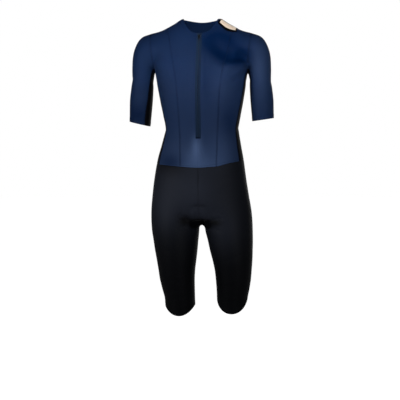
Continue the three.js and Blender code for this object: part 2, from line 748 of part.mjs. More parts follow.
// One leg's front or back panel, from the hem upwards and from the side seam inwards.
function shortsPanel(side, waist, front) {
  const columns = waist.length - 1;
  const hemInner = side.hemSideZ;
  const waistInner = waist[columns].z;
  const facing = front ? -1 : 1;
  const legMiddle = (z) => vector(leg[side.legMiddle](z), leg.middleY(z), z);
  const centreX = (z) => CROTCH_SHIFT * smoothStep(LEGS_START, LEGS_WHOLE, z);
  const angleOf = (from, p) => {
    const angle = Math.atan2((p.y - from.y) * facing, (p.x - from.x) * side.sign);
    return angle < -Math.PI / 2 ? angle + 2 * Math.PI : angle;
  };
  let crotchZ = LEGS_START;
  while (field(vector(centreX(crotchZ), leg.middleY(crotchZ), crotchZ)) < 0) crotchZ -= CROTCH_STEP;
  const below = Array.from({ length: THIGH_STRIPS }, (_, k) =>
    mix(crotchZ, hemInner, (k + 1) / THIGH_STRIPS),
  );
  const levels = [waistInner, ...CROTCH_LEVELS, crotchZ, ...below];
  const grid = levels.map((level, k) => {
    if (k === 0) return waist.map((p) => p.clone());
    const t = (waistInner - level) / (waistInner - hemInner);
    const inThigh = level < crotchZ;
    const from = legMiddle(level);
    let inner = vector(centreX(level), leg.middleY(level), level);
    if (inThigh) inner = leave(from, vector(-side.sign, 0, 0));
    else if (level > crotchZ) inner = leave(inner, vector(0, facing, 0));
    const innerAngle = inThigh ? Math.PI : angleOf(from, inner);
    const waistFrom = legMiddle(waistInner);
    const waistAngles = waist.map((p) => angleOf(waistFrom, p));
    const share = smoothStep(0, HIP_TURN_SHARE, t);
    return waist.map((waistPoint, j) => {
      const waistShare = (waistAngles[j] - waistAngles[0]) / (waistAngles[columns] - waistAngles[0]);
      const around = mix(waistShare, j / columns, share);
      const angle = mix(mix(waistAngles[0], 0, share), innerAngle, around);
      const turn = Math.sin(angle);
      const bow = Math.max(turn, 0);
      const hemZ = side.hemSideZ + (front ? -side.hemDrop * bow ** side.hemPower : HEM_BACK_RISE * bow);
      const z = inThigh || j < columns ? mix(waistPoint.z, hemZ, t) : level;
      if (j === columns) return inner;
      return leave(legMiddle(z), vector(Math.cos(angle) * side.sign, turn * facing, 0));
    });
  });
  return turned(grid);
}

const tops = new Map(SIDES.map((side) => [side.name, makeTop(side)]));

for (const side of SIDES) {
  const made = tops.get(side.name);
  addPanel(`front_center_${side.name}`, made.frontCentre, ["bottom", "top", "start", "end"], NAVY);
  addPanel(`front_side_${side.name}`, made.frontSide, ["bottom", "top", "start", "end"], NAVY);
  addPanel(`side_panel_${side.name}`, made.sidePanel, ["bottom", "top", "start", "end"], BLACK);

  const navyTop = joined(made.armFront, turned(made.armBack));
  const navy = sleevePanel(side, navyTop, side.cuffPanelFront, side.cuffPanelBack - 360);
  addPanel(`sleeve_${side.name}`, navy, ["top", "start", "end"], NAVY);
  const under = sleevePanel(side, made.armpit, side.cuffPanelFront, side.cuffPanelBack);
  addPanel(`sleeve_underarm_${side.name}`, under, ["top", "start", "end"], BLACK);

  const { waist } = made;
  const frontWaist = turned(joined(joined(waist.centre, waist.side), waist.flankFront));
  const backWaist = joined(waist.flankBack, waist.back);
  addPanel(`short_front_${side.name}`, shortsPanel(side, frontWaist, true), ["top", "start", "end"], BLACK);
  addPanel(`short_back_${side.name}`, shortsPanel(side, backWaist, false), ["top", "start", "end"], BLACK);
}

// The back is one piece: its two halves share the middle column.
const [rightTop, leftTop] = SIDES.map((side) => tops.get(side.name));
const wholeBack = leftTop.back.map((row, i) => [...turned(rightTop.back[i]), ...row.slice(1)]);
addPanel("back", wholeBack, ["bottom", "top", "start", "end"], NAVY);

// The collar is one band from the zip round the back to the zip.
function collarRow(drop) {
  const half = (side) => {
    const { angles } = tops.get(side.name);
    return joined(angles.front, angles.back).map((angle) => neckPoint(side, angle, drop));
  };
  const [right, left] = SIDES.map(half);
  return joined(right, turned(left));
}
const collarGrid = Array.from({ length: STRIPS.collar + 1 }, (_, k) => collarRow(1 - k / STRIPS.collar));
addPanel("collar", collarGrid, ["bottom", "start", "end"], NAVY);

// Zip tape: one half on each front edge, from the collar's top to the foot of the zip.
function tapeGrid(side) {
  const { frontCentre, angles } = tops.get(side.name);
  const edge = frontCentre.map((row) => [row[0], row[1]]);
  edge.push([neckPoint(side, 0, 0), neckPoint(side, angles.front[1], 0)]);
  const above = edge.findIndex((pair) => pair[0].z > ZIP_BOTTOM_Z);
  const share = (ZIP_BOTTOM_Z - edge[above - 1][0].z) / (edge[above][0].z - edge[above - 1][0].z);
  const foot = edge[above - 1].map((p, j) => p.clone().lerp(edge[above][j], share));
  return [foot, ...edge.slice(above)].map(([middle, out]) =>
    [SEAM_GAP / 2, TAPE_HALF].map((reach) => middle.clone().lerp(out, reach / Math.abs(out.x))),
  );
}

for (const side of SIDES) {
  const grid = tapeGrid(side);
  const face = raised(grid, LAID_ON_GAP + TAPE_THICK);
  add(`zip_tape_${side.name}`, shell(face, raised(grid, LAID_ON_GAP)), TAPE);
}

// Joins closed geometries into one solid.
function fused(geometries) {
  const solids = geometries.map((geometry) => {
    geometry.deleteAttribute("normal");
    geometry.deleteAttribute("uv");
    const merged = mergeVertices(geometry, 1e-4);
    const triVerts = new Uint32Array(merged.index.array);
    const vertProperties = merged.attributes.position.array;
    return new manifold.Manifold(new manifold.Mesh({ numProp: 3, vertProperties, triVerts }));
  });
  const mesh = solids.reduce((whole, next) => whole.add(next)).getMesh();
  const geometry = new THREE.BufferGeometry();
  geometry.setAttribute("position", new THREE.BufferAttribute(mesh.vertProperties, 3));
  geometry.setIndex(new THREE.BufferAttribute(mesh.triVerts, 1));
  return geometry;
}

// An outline in the plane of up (x) and outwards (y), carried across the zip.
function acrossZip(shape, width) {
  const settings = { depth: width, bevelEnabled: false, curveSegments: ROUND_SIDES / 2 };
  const geometry = new THREE.ExtrudeGeometry(shape, settings);
  const frame = new THREE.Matrix4().makeBasis(vector(0, 1, 0), vector(0, 0, 1), vector(1, 0, 0));
  return geometry.applyMatrix4(frame.setPosition(-width / 2, 0, 0));
}

// The slider's own frame: x across, y up the zip and z out of the cloth, with its foot on the tape.
const sliderSeat = ringPoint(SIDES[1], 0, SLIDER.z);
const outwards = normalAt(sliderSeat);
const upZip = vector(1, 0, 0).cross(outwards).negate();
const sliderGroup = new THREE.Group();
sliderGroup.applyMatrix4(new THREE.Matrix4().makeBasis(vector(1, 0, 0), upZip, outwards));
sliderGroup.position.copy(sliderSeat).addScaledVector(outwards, TAPE_THICK + 2 * LAID_ON_GAP);
suit.add(sliderGroup);

function sliderGeometry() {
  const { topWidth, bottomWidth, length, thick, corner } = SLIDER;
  const body = new THREE.Shape();
  body.moveTo(-bottomWidth / 2 + corner, -length / 2);
  body.lineTo(bottomWidth / 2 - corner, -length / 2);
  body.quadraticCurveTo(bottomWidth / 2, -length / 2, bottomWidth / 2, -length / 2 + corner);
  body.lineTo(topWidth / 2, length / 2 - 2 * corner);
  body.quadraticCurveTo(topWidth / 2, length / 2, topWidth / 2 - corner, length / 2);
  body.lineTo(-topWidth / 2 + corner, length / 2);
  body.quadraticCurveTo(-topWidth / 2, length / 2, -topWidth / 2, length / 2 - 2 * corner);
  body.lineTo(-bottomWidth / 2, -length / 2 + corner);
  body.quadraticCurveTo(-bottomWidth / 2, -length / 2, -bottomWidth / 2 + corner, -length / 2);
  const plate = new THREE.ExtrudeGeometry(body, { depth: thick, bevelEnabled: false, curveSegments: 4 });
  const inside = PULL_TAB.width / 2 + LAID_ON_GAP;
  const pinLength = 2 * (inside + LUG.thick / 2);
  const pin = new THREE.CylinderGeometry(PIN.radius, PIN.radius, pinLength, ROUND_SIDES);
  pin.rotateZ(Math.PI / 2).translate(0, PIN.up, thick + PIN_HEIGHT);
  const lugs = [-1, 1].map((sign) => {
    const side = new THREE.Shape();
    side.moveTo(PIN.up - LUG.long / 2, thick / 2);
    side.lineTo(PIN.up + LUG.long / 2, thick / 2);
    side.lineTo(PIN.up + PIN.radius * 2, thick + PIN_HEIGHT);
    side.absarc(PIN.up, thick + PIN_HEIGHT, PIN.radius * 2, 0, Math.PI, false);
    side.lineTo(PIN.up - LUG.long / 2, thick / 2);
    return acrossZip(side, LUG.thick).translate(sign * (inside + LUG.thick / 2), 0, 0);
  });
  return fused([plate, ...lugs, pin]);
}
add("zip_slider", sliderGeometry(), SLIDER_PAINT, sliderGroup);

// The pull tab hangs down the zip from the pin, which runs through its eye.
function pullTabGeometry() {
  const { eyeOuter, eyeInner, thick, length, width } = PULL_TAB;
  const side = new THREE.Shape();
  const neck = Math.asin((eyeOuter - thick) / eyeOuter);
  side.moveTo(-length, -eyeOuter + thick);
  side.lineTo(-length, -eyeOuter);
  side.lineTo(0, -eyeOuter);
  side.absarc(0, 0, eyeOuter, -Math.PI / 2, Math.PI + neck, false);
  side.closePath();
  const eye = new THREE.Path();
  eye.absarc(0, 0, eyeInner, 0, 2 * Math.PI, true);
  side.holes.push(eye);
  return acrossZip(side, width);
}
const pullTab = add("zip_pull_tab", pullTabGeometry(), SLIDER_PAINT, sliderGroup);
pullTab.position.set(0, PIN.up, SLIDER.thick + PIN_HEIGHT);

// Shoulder label: a plain strip over the ridge, from the collar towards the armhole.
function labelPoint(u, v) {
  const { innerFront, outerFront, innerBack, outerBack } = LABEL_CORNERS;
  const x = mix(mix(innerFront.x, outerFront.x, u), mix(innerBack.x, outerBack.x, u), v);
  const y = mix(mix(innerFront.y, outerFront.y, u), mix(innerBack.y, outerBack.y, u), v);
  const bow = LABEL_FRONT_BOW * 4 * u * (1 - u) * (1 - v);
  return leave(vector(x, y - bow, FAN_Z), vector(0, 0, 1));
}

const labelGrid = Array.from({ length: LABEL_STRIPS.across + 1 }, (_, i) =>
  Array.from({ length: LABEL_STRIPS.along + 1 }, (__, j) =>
    labelPoint(j / LABEL_STRIPS.along, i / LABEL_STRIPS.across),
  ),
);
const labelFace = raised(labelGrid, LABEL_LIFT + LABEL_THICK);
add("shoulder_label", shell(labelFace, raised(labelGrid, LABEL_LIFT)), LABEL);

export default suit;
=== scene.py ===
"""A short-sleeved triathlon suit, filled out as worn with nobody in it, dressed for a studio picture.

The suit's form is one smooth field, negative inside and zero on the cloth's outer face. Each cut
piece is a fine grid of points on that face between its own seams. Creases move the points along
the face's normals, and a thin wall goes inwards from them.
Tables are in millimetres and degrees. Meshes are written in metres.
"""

import logging
import math
from dataclasses import dataclass, field
from enum import Enum
from typing import Callable

import bpy
import numpy as np
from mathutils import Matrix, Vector


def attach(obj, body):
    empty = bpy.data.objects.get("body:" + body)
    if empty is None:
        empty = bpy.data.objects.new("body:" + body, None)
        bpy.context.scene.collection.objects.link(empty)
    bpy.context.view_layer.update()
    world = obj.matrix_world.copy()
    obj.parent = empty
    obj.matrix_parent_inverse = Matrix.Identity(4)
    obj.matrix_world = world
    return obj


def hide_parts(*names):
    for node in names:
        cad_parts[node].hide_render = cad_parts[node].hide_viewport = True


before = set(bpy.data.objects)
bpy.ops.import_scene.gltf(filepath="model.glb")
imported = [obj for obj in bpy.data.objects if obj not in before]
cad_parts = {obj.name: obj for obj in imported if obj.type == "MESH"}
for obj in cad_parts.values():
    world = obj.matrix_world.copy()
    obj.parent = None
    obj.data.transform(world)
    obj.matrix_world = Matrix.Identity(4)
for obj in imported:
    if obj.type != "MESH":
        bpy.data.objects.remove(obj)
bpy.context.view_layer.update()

log = logging.getLogger("triathlon_suit")
MM = 0.001
BODY = "suit"
PULL_BODY = "pull_tab"
Points = np.ndarray


class Table:
    """Smooth curves through the columns of a short table, one row for each key.

    A curve's slope at a row is taken across the row's neighbours, and a cubic joins the rows.
    """

    def __init__(self, columns: str, *rows: tuple[float, ...]) -> None:
        """Args:
            columns: the columns' names, the key first.
            rows: one tuple of numbers for each row.
        """
        self.names = columns.split()[1:]
        data = np.array(sorted(rows), dtype=float)
        self.keys = data[:, 0]
        self.values = data[:, 1:]
        places = np.arange(len(rows))
        after = np.minimum(places + 1, len(rows) - 1)
        before = np.maximum(places - 1, 0)
        spans = (self.keys[after] - self.keys[before])[:, None]
        self.slopes = (self.values[after] - self.values[before]) / spans

    def read(self, at: np.ndarray) -> np.ndarray:
        """Reads every column at the given keys.

        Args:
            at: keys, as an array of any shape or a number.
        Returns:
            One array of that shape for each column.
        """
        place = np.clip(np.asarray(at, dtype=float), self.keys[0], self.keys[-1])
        i = np.clip(np.searchsorted(self.keys, place, side="right") - 1, 0, len(self.keys) - 2)
        span = self.keys[i + 1] - self.keys[i]
        t = ((place - self.keys[i]) / span)[..., None]
        rise = t * t * (3 - 2 * t)
        bend = span[..., None] * t * (1 - t) * (self.slopes[i] * (1 - t) - self.slopes[i + 1] * t)
        return np.moveaxis(self.values[i] * (1 - rise) + self.values[i + 1] * rise + bend, -1, 0)


# Trunk: horizontal sections from the shoulders to the crotch, swayed a little as it is worn
TRUNK = Table(
    "z half front back power sway",
    (40, 150, 44, 52, 2.1, 0),
    (0, 158, 70, 76, 2.2, 0),
    (-40, 163, 92, 96, 2.3, 0),
    (-80, 164, 106, 108, 2.35, 0),
    (-130, 161.5, 115, 115, 2.35, 0),
    (-190, 154.5, 118, 112, 2.3, 1.5),
    (-250, 144.5, 113, 101, 2.25, 2.5),
    (-300, 135, 105, 90, 2.2, 3),
    (-345, 128, 98, 84, 2.2, 3.5),
    (-400, 138, 98, 87, 2.2, 1),
    (-450, 149.5, 102, 97, 2.25, -1.5),
    (-520, 160.5, 106, 113, 2.3, -3),
    (-590, 170, 106, 123, 2.3, -1.5),
    (-650, 175, 100, 122, 2.3, 0),
    (-700, 176, 92, 112, 2.3, 0),
)

# Legs: horizontal sections round each leg's own middle line, which the worn pose sets
LEG = Table(
    "z half front back middle_y middle_right middle_left",
    (-580, 84, 98, 118, 2, -92, 94),
    (-650, 84, 98, 112, 5, -92, 95.5),
    (-700, 83, 96, 103, 7, -91, 97.5),
    (-735, 79, 92, 97, 8, -90, 102),
    (-770, 75, 87, 91, 9, -89, 105.5),
    (-805, 70, 81, 85, 10, -88, 109.5),
    (-840, 65, 75, 79, 12, -87.5, 112),
    (-875, 61.5, 70, 73, 14, -86, 112.5),
    (-910, 57.5, 65, 68, 17, -82, 111),
    (-945, 53.5, 61, 64, 20, -77.5, 108.5),
    (-1010, 52, 58, 62, 24, -75, 110),
)

# Arms: horizontal sections round the arm's middle line
ARM = Table(
    "z half front back middle",
    (0, 44, 50, 56, 166),
    (-30, 50, 54, 60, 173.5),
    (-56, 52, 57, 60, 179),
    (-80, 51, 57, 58, 186),
    (-105, 46.5, 55, 56, 194.5),
    (-140, 40.5, 52, 53, 202),
    (-175, 37.5, 50, 51, 205),
    (-210, 39, 50, 50, 208),
    (-245, 40, 50, 50, 211),
    (-280, 39, 48, 49, 213),
    (-335, 36.5, 46, 47, 216),
)

# Shoulder line: the ridge's height over each place across, and how fast the cloth falls from it
RIDGE = Table(
    "x top fall_front fall_back",
    (0, 54, 62, 93),
    (66, 34, 62, 96),
    (96, 15.5, 75, 105),
    (138, -6, 100, 125),
    (180, -18, 110, 130),
    (205, -27, 110, 130),
    (224, -41, 110, 130),
    (240, -64, 110, 130),
)

# Princess seam: how far across it runs at each height
PRINCESS = Table("z x", (-490, 61), (-330, 66), (-185, 76), (-80, 96), (0, 122))

# Side panel: where its edges run round the trunk, as angles from the middle of the front
SIDE_PANEL_TOP_Z = -176
SIDE_PANEL = Table("z front back", (-490, 70.6, 112), (-300, 73.5, 108), (SIDE_PANEL_TOP_Z, 76.5, 104))


def smooth_step(start: float, end: float, value: np.ndarray) -> np.ndarray:
    """Rises smoothly from 0 at start to 1 at end."""
    t = np.clip((value - start) / (end - start), 0, 1)
    return t * t * (3 - 2 * t)


def soft_min(a: np.ndarray, b: np.ndarray, stretch: np.ndarray) -> np.ndarray:
    """The smaller of two values, rounded where they differ by less than the stretch."""
    near = np.maximum(stretch - np.abs(a - b), 0) / stretch
    return np.minimum(a, b) - near * near * stretch / 4


def outside(x: np.ndarray, y: np.ndarray, half: np.ndarray, depth: np.ndarray, power: np.ndarray) -> np.ndarray:
    """How far a point lies outside a section whose corners are as round as its power says."""
    share = ((np.abs(x) / half) ** power + (np.abs(y) / depth) ** power) ** (1 / power)
    return np.where(share < 1e-6, -half, np.hypot(x, y) * (1 - 1 / np.maximum(share, 1e-6)))


def unit(v: Points) -> Points:
    """Vectors scaled to length one."""
    return v / np.maximum(np.linalg.norm(v, axis=-1, keepdims=True), 1e-9)


def mix(a: np.ndarray, b: np.ndarray, share: np.ndarray) -> np.ndarray:
    """Goes from a to b as the share goes from 0 to 1."""
    return a + (b - a) * share


@dataclass(frozen=True)
class WornForm:
    """The suit's outer face, filled out as worn: trunk, arms and legs as one smooth field."""

    legs_start: float = -575
    legs_whole: float = -697
    leg_blend: float = 14
    arm_middle_y: float = 8
    arm_blend_low: float = 11
    arm_blend_high: float = 50
    arm_blend_low_z: float = -145
    arm_blend_high_z: float = -70
    ridge_y: float = 8
    roof_blend: float = 22
    roof_slope: float = 0.85
    march: float = 1.5
    far: float = 420

    def value(self, p: Points) -> np.ndarray:
        """The field: the trunk turns into two legs, arms are joined on, and the shoulders close it above."""
        x, y, z = p[..., 0], p[..., 1], p[..., 2]
        half, front, back, power, sway = TRUNK.read(z)
        body = outside(x - sway, y, half, np.where(y < 0, front, back), power)
        half, front, back, middle_y, right, left = LEG.read(z)
        depth = np.where(y < middle_y, front, back)
        legs = soft_min(
            outside(x - right, y - middle_y, half, depth, 2),
            outside(x - left, y - middle_y, half, depth, 2),
            self.leg_blend,
        )
        body = mix(body, legs, 1 - smooth_step(self.legs_whole, self.legs_start, z))
        half, front, back, middle = ARM.read(z)
        dy = y - self.arm_middle_y
        arm = outside(np.abs(x) - middle, dy, half, np.where(dy < 0, front, back), 2)
        rise = smooth_step(self.arm_blend_low_z, self.arm_blend_high_z, z)
        joined = soft_min(body, arm, mix(self.arm_blend_low, self.arm_blend_high, rise))
        body = np.where(z > -420, joined, body)
        top, fall_front, fall_back = RIDGE.read(np.abs(x))
        dy = y - self.ridge_y
        roof = (z - top + dy * dy / np.where(dy < 0, fall_front, fall_back)) * self.roof_slope
        return -soft_min(-body, -roof, self.roof_blend)

    def slope(self, p: Points, step: float = 0.5) -> Points:
        """The field's slope, from differences across each axis."""
        moves = np.eye(3) * step
        parts = [self.value(p + move) - self.value(p - move) for move in moves]
        return np.stack(parts, axis=-1) / (2 * step)

    def normal(self, p: Points) -> Points:
        """The cloth's outward normals."""
        return unit(self.slope(p))

    def settle(self, p: Points, passes: int = 6) -> Points:
        """Moves points along the field's slope until they lie on the cloth's face."""
        for _ in range(passes):
            slope = self.slope(p)
            size = np.maximum((slope * slope).sum(-1, keepdims=True), 0.05)
            p = p - slope * (self.value(p)[..., None] / size)
        return p

    def leave(self, start: Points, way: Points) -> Points:
        """The first places where rays from inside leave the suit: a march outwards, then halving.

        Args:
            start: points inside, one for each ray or one for all.
            way: the rays' directions.
        Returns:
            The points on the cloth's face.
        """
        start, way = np.broadcast_arrays(np.asarray(start, dtype=float), unit(np.asarray(way, dtype=float)))
        shape = start.shape
        start, way = start.reshape(-1, 3), way.reshape(-1, 3)
        inside = np.zeros(len(start))
        going = np.arange(len(start))
        while len(going) and inside[going].min() < self.far:
            trial = inside[going] + self.march
            kept = self.value(start[going] + way[going] * trial[:, None]) < 0
            inside[going[kept]] = trial[kept]
            going = going[kept & (trial < self.far)]
        out = inside + self.march
        for _ in range(16):
            middle = (inside + out) / 2
            kept = self.value(start + way * middle[:, None]) < 0
            inside = np.where(kept, middle, inside)
            out = np.where(kept, out, middle)
        return (start + way * ((inside + out) / 2)[:, None]).reshape(shape)

    def evenly(self, points: Points, strips: int) -> Points:
        """Even steps along a line of points, put back on the cloth's face."""
        steps = np.linalg.norm(np.diff(points, axis=0), axis=1)
        reach = np.concatenate([[0], np.cumsum(steps)])
        goals = np.linspace(0, reach[-1], strips + 1)
        even = np.stack([np.interp(goals, reach, points[:, k]) for k in range(3)], axis=-1)
        even[1:-1] = self.settle(even[1:-1])
        return even


FORM = WornForm()


@dataclass(frozen=True)
class Side:
    """What differs between the wearer's right and left."""

    name: str
    sign: int
    waist_rise: float
    cuff_outer_z: float
    cuff_inner_z: float
    cuff_panel_front: float
    cuff_panel_back: float
    hem_side_z: float
    hem_drop: float
    hem_power: float
    leg_column: int


RIGHT = Side("right", -1, 10, -321, -338, 121, 205, -968, 33, 2, 4)
LEFT = Side("left", 1, 23, -309, -320, 150, 218, -944, 47, 1.3, 5)
SIDES = (RIGHT, LEFT)


@dataclass(frozen=True)
class Strips:
    """Numbers of strips in each stretch of the panels, about 3 mm apart."""

    side_seam: int = 100
    armhole_side: int = 48
    armpit: int = 24
    front_neck: int = 36
    back_neck: int = 30
    shoulder_inner: int = 12
    shoulder_outer: int = 24
    sleeve: int = 84
    thigh: int = 96
    hip: int = 66
    line: int = 160


STRIPS = Strips()


def joined(*lines: Points) -> Points:
    """Lines of points end to end, with the shared ends kept once."""
    return np.concatenate([lines[0]] + [line[1:] for line in lines[1:]])


def patch(bottom: Points, top: Points, start: Points, end: Points) -> Points:
    """A grid between four edges, by the sum of the two ruled surfaces less the corners' one.

    Args:
        bottom, top: the lower and upper edges, from the start edge to the end edge.
        start, end: the side edges, from the bottom up.
    Returns:
        Rows of points on the cloth's face, the bottom row first.
    """
    u = np.linspace(0, 1, len(bottom))[None, :, None]
    v = np.linspace(0, 1, len(start))[:, None, None]
    grid = bottom[None] * (1 - v) + top[None] * v + start[:, None] * (1 - u) + end[:, None] * u
    grid = grid - bottom[0] * (1 - u) * (1 - v) - bottom[-1] * u * (1 - v) - top[0] * (1 - u) * v - top[-1] * u * v
    grid[1:-1, 1:-1] = FORM.settle(grid[1:-1, 1:-1], 8)
    return grid


@dataclass
class TopSeams:
    """The seam lines of the suit's top on one side, from the neckline to the waist."""

    side: Side
    neck_side_z: float = 33.5
    neck_front_z: float = -19.5
    neck_power: float = 2.9
    neck_back_z: float = 25
    collar_drop_side: float = 8.5
    collar_drop_middle: float = 7.5
    neck_side_angle: float = 95
    shorts_side_angle: float = 91
    fan_z: float = -80
    armhole_top_x: float = 174
    armhole_bottom_x: float = 161.5
    armpit_front_angle: float = 24
    armpit_back_angle: float = 35
    waist_front_z: float = -477.5
    waist_back_z: float = -474

    def __post_init__(self) -> None:
        """Works out every line once, in the order in which they meet."""
        n = STRIPS
        rows = n.side_seam + n.armhole_side
        self.arm_top = self.ridge_line(np.array([self.armhole_top_x]))[0]
        foot = [self.side.sign * self.armhole_bottom_x, FORM.ridge_y, self.fan_z]
        self.arm_bottom = FORM.leave(foot, [0, 0, -1.0])
        pit_front, pit_back = 180 - self.armpit_front_angle, 180 + self.armpit_back_angle
        self.arm_front = self.armhole_arc(pit_front, 0, n.armhole_side)
        self.arm_back = self.armhole_arc(pit_back, 360, n.armhole_side)
        self.armpit = self.armhole_arc(pit_front, pit_back, n.armpit)
        front_angle, back_angle = SIDE_PANEL.read(self.waist_front_z)
        self.front_edge = self.side_edge(0, self.arm_front[0])
        self.back_edge = self.side_edge(1, self.arm_back[0])
        princess = self.princess_line()
        princess_angle = math.degrees(math.atan2(abs(princess[0, 0]), -princess[0, 1]))
        self.princess = FORM.evenly(princess, rows)
        self.front_angles = np.linspace(0, self.neck_side_angle, n.front_neck + 1)
        self.back_angles = np.linspace(self.neck_side_angle, 180, n.back_neck + 1)
        self.collar_front = self.neck_line(self.front_angles, 1)
        self.collar_back = self.neck_line(self.back_angles, 1)
        neck_side, princess_top = self.collar_front[-1], self.princess[-1]
        self.shoulder_inner = self.shoulder_line(neck_side, princess_top, n.shoulder_inner)
        self.shoulder_outer = self.shoulder_line(princess_top, self.arm_top, n.shoulder_outer)
        self.middle_front = self.middle_line(0, self.waist_front_z, self.collar_front[0], rows)
        self.middle_back = self.middle_line(180, self.waist_back_z, self.collar_back[-1], rows)
        self.waist_centre = self.waist_line(0, princess_angle, n.front_neck + n.shoulder_inner)
        self.waist_side = self.waist_line(princess_angle, front_angle, n.shoulder_outer)
        self.flank_front = self.waist_line(front_angle, self.shorts_side_angle, n.armpit // 2)
        self.flank_back = self.waist_line(self.shorts_side_angle, back_angle, n.armpit // 2)
        back_strips = n.back_neck + n.shoulder_inner + n.shoulder_outer
        self.waist_back = self.waist_line(back_angle, 180, back_strips)
        self.waist_centre[-1] = self.princess[0]
        self.waist_side[0] = self.princess[0]

    def around(self, angle: np.ndarray, z: np.ndarray) -> Points:
        """Points on the trunk at angles from the middle of the front and at heights."""
        turn = np.radians(np.asarray(angle, dtype=float))
        turn, z = np.broadcast_arrays(turn, np.asarray(z, dtype=float))
        way = np.stack([self.side.sign * np.sin(turn), -np.cos(turn), 0 * turn], axis=-1)
        return FORM.leave(np.stack([0 * z, 0 * z, z], axis=-1), way)

    def waist_z(self, angle: np.ndarray) -> np.ndarray:
        """The waist seam's height: lowest at the middle of the front, rising to the sides."""
        turn = np.radians(np.asarray(angle, dtype=float))
        middle = np.where(np.cos(turn) > 0, self.waist_front_z, self.waist_back_z)
        return mix(middle, self.waist_front_z + self.side.waist_rise, np.sin(turn) ** 2)

    def waist_line(self, start: float, end: float, strips: int) -> Points:
        """A stretch of the waist seam between two angles."""
        angle = np.linspace(start, end, STRIPS.line)
        return FORM.evenly(self.around(angle, self.waist_z(angle)), strips)

    def neckline_z(self, angle: np.ndarray) -> np.ndarray:
        """The neckline's height: a flat-bottomed U in front and a shallow dip behind."""
        turn = np.radians(angle)
        front = mix(self.neck_front_z, self.neck_side_z, np.abs(np.sin(turn)) ** self.neck_power)
        back = mix(self.neck_side_z, self.neck_back_z, np.cos(turn) ** 2)
        return np.where(np.cos(turn) > 0, front, back)

    def neck_line(self, angle: np.ndarray, drop: float) -> Points:
        """A line round the neck, from the neckline at drop 0 to the collar's seam at drop 1."""
        angle = np.asarray(angle, dtype=float)
        depth = self.collar_drop_side + self.collar_drop_middle * np.abs(np.cos(np.radians(angle)))
        return self.around(angle, self.neckline_z(angle) - depth * drop)

    def ridge_line(self, x: np.ndarray) -> Points:
        """Points on the shoulder's ridge at places across."""
        start = np.stack([self.side.sign * x, 0 * x + FORM.ridge_y, 0 * x + self.fan_z], axis=-1)
        return FORM.leave(start, [0, 0, 1.0])

    def shoulder_line(self, first: Points, last: Points, strips: int) -> Points:
        """The shoulder seam between two of its points."""
        line = self.ridge_line(np.linspace(abs(first[0]), abs(last[0]), STRIPS.line))
        line[0], line[-1] = first, last
        return FORM.evenly(line, strips)

    def middle_line(self, angle: float, low: float, top: Points, rows: int) -> Points:
        """The middle line of the front or the back, from the waist to the collar's seam."""
        return FORM.evenly(self.around(angle, np.linspace(low, top[2], STRIPS.line)), rows)

    def sleeve_point(self, top: Points, bottom: Points, angle: np.ndarray) -> Points:
        """Points of the rings between a sleeve's top and its underarm: angle 0 is the top, 90 the front."""
        turn = np.radians(np.asarray(angle, dtype=float))[..., None]
        up = unit(top - bottom)
        return FORM.leave((top + bottom) / 2, up * np.cos(turn) - np.array([0, 1.0, 0]) * np.sin(turn))

    def armhole_arc(self, start: float, end: float, strips: int) -> Points:
        """A stretch of the armhole seam between two of its angles."""
        angle = np.linspace(start, end, STRIPS.line)
        return FORM.evenly(self.sleeve_point(self.arm_top, self.arm_bottom, angle), strips)

    def side_edge(self, column: int, corner: Points) -> Points:
        """One edge of the side panel, from the waist to its corner at the armhole."""
        angle = SIDE_PANEL.read(self.waist_front_z)[column]
        z = np.linspace(self.waist_z(angle), SIDE_PANEL_TOP_Z, STRIPS.line)
        angles = SIDE_PANEL.read(z)[column]
        angles[0] = angle
        line = self.around(angles, z)
        return FORM.evenly(joined(line, np.array([line[-1], corner])), STRIPS.side_seam)

    def princess_line(self) -> Points:
        """The princess seam, from the waist up the front and over to the shoulder's ridge."""
        z = np.linspace(self.waist_front_z, self.fan_z, STRIPS.line)
        across = self.side.sign * PRINCESS.read(z)[0]
        front = FORM.leave(np.stack([across, 0 * z + FORM.ridge_y, z], axis=-1), [0, -1.0, 0])
        angle = math.degrees(math.atan2(abs(front[0, 0]), -front[0, 1]))
        front[0] = self.around(angle, self.waist_z(angle))
        t = np.linspace(0, 1, STRIPS.line)
        lean = t * math.pi / 2
        across = self.side.sign * PRINCESS.read(self.fan_z * (1 - t))[0]
        start = np.stack([across, 0 * t + FORM.ridge_y, 0 * t + self.fan_z], axis=-1)
        over = FORM.leave(start, np.stack([0 * t, -np.cos(lean), np.sin(lean)], axis=-1))
        return joined(front, over)

    def sleeve_lines(self) -> tuple[Points, Points]:
        """The sleeve's outer line over the arm and its inner line under it, from the armhole down."""
        s = self.side
        t = np.linspace(0, 1, STRIPS.line)
        lean = t * math.pi / 2
        start = np.array([s.sign * self.armhole_top_x, FORM.ridge_y, self.fan_z])
        crown = FORM.leave(start, np.stack([s.sign * np.sin(lean), 0 * t, np.cos(lean)], axis=-1))
        z = np.linspace(self.fan_z, s.cuff_outer_z, STRIPS.line)
        start = np.stack([s.sign * ARM.read(z)[3], 0 * z + FORM.ridge_y, z], axis=-1)
        outer = joined(crown, FORM.leave(start, [float(s.sign), 0, 0]))
        z = np.linspace(self.arm_bottom[2] - 12, s.cuff_inner_z, STRIPS.line)
        start = np.stack([s.sign * ARM.read(z)[3], 0 * z + FORM.ridge_y, z], axis=-1)
        inner = FORM.leave(start, [-float(s.sign), 0, 0])
        inner = joined(np.array([self.arm_bottom, inner[0]]), inner)
        outer[0] = self.arm_top
        return FORM.evenly(outer, STRIPS.sleeve), FORM.evenly(inner, STRIPS.sleeve)

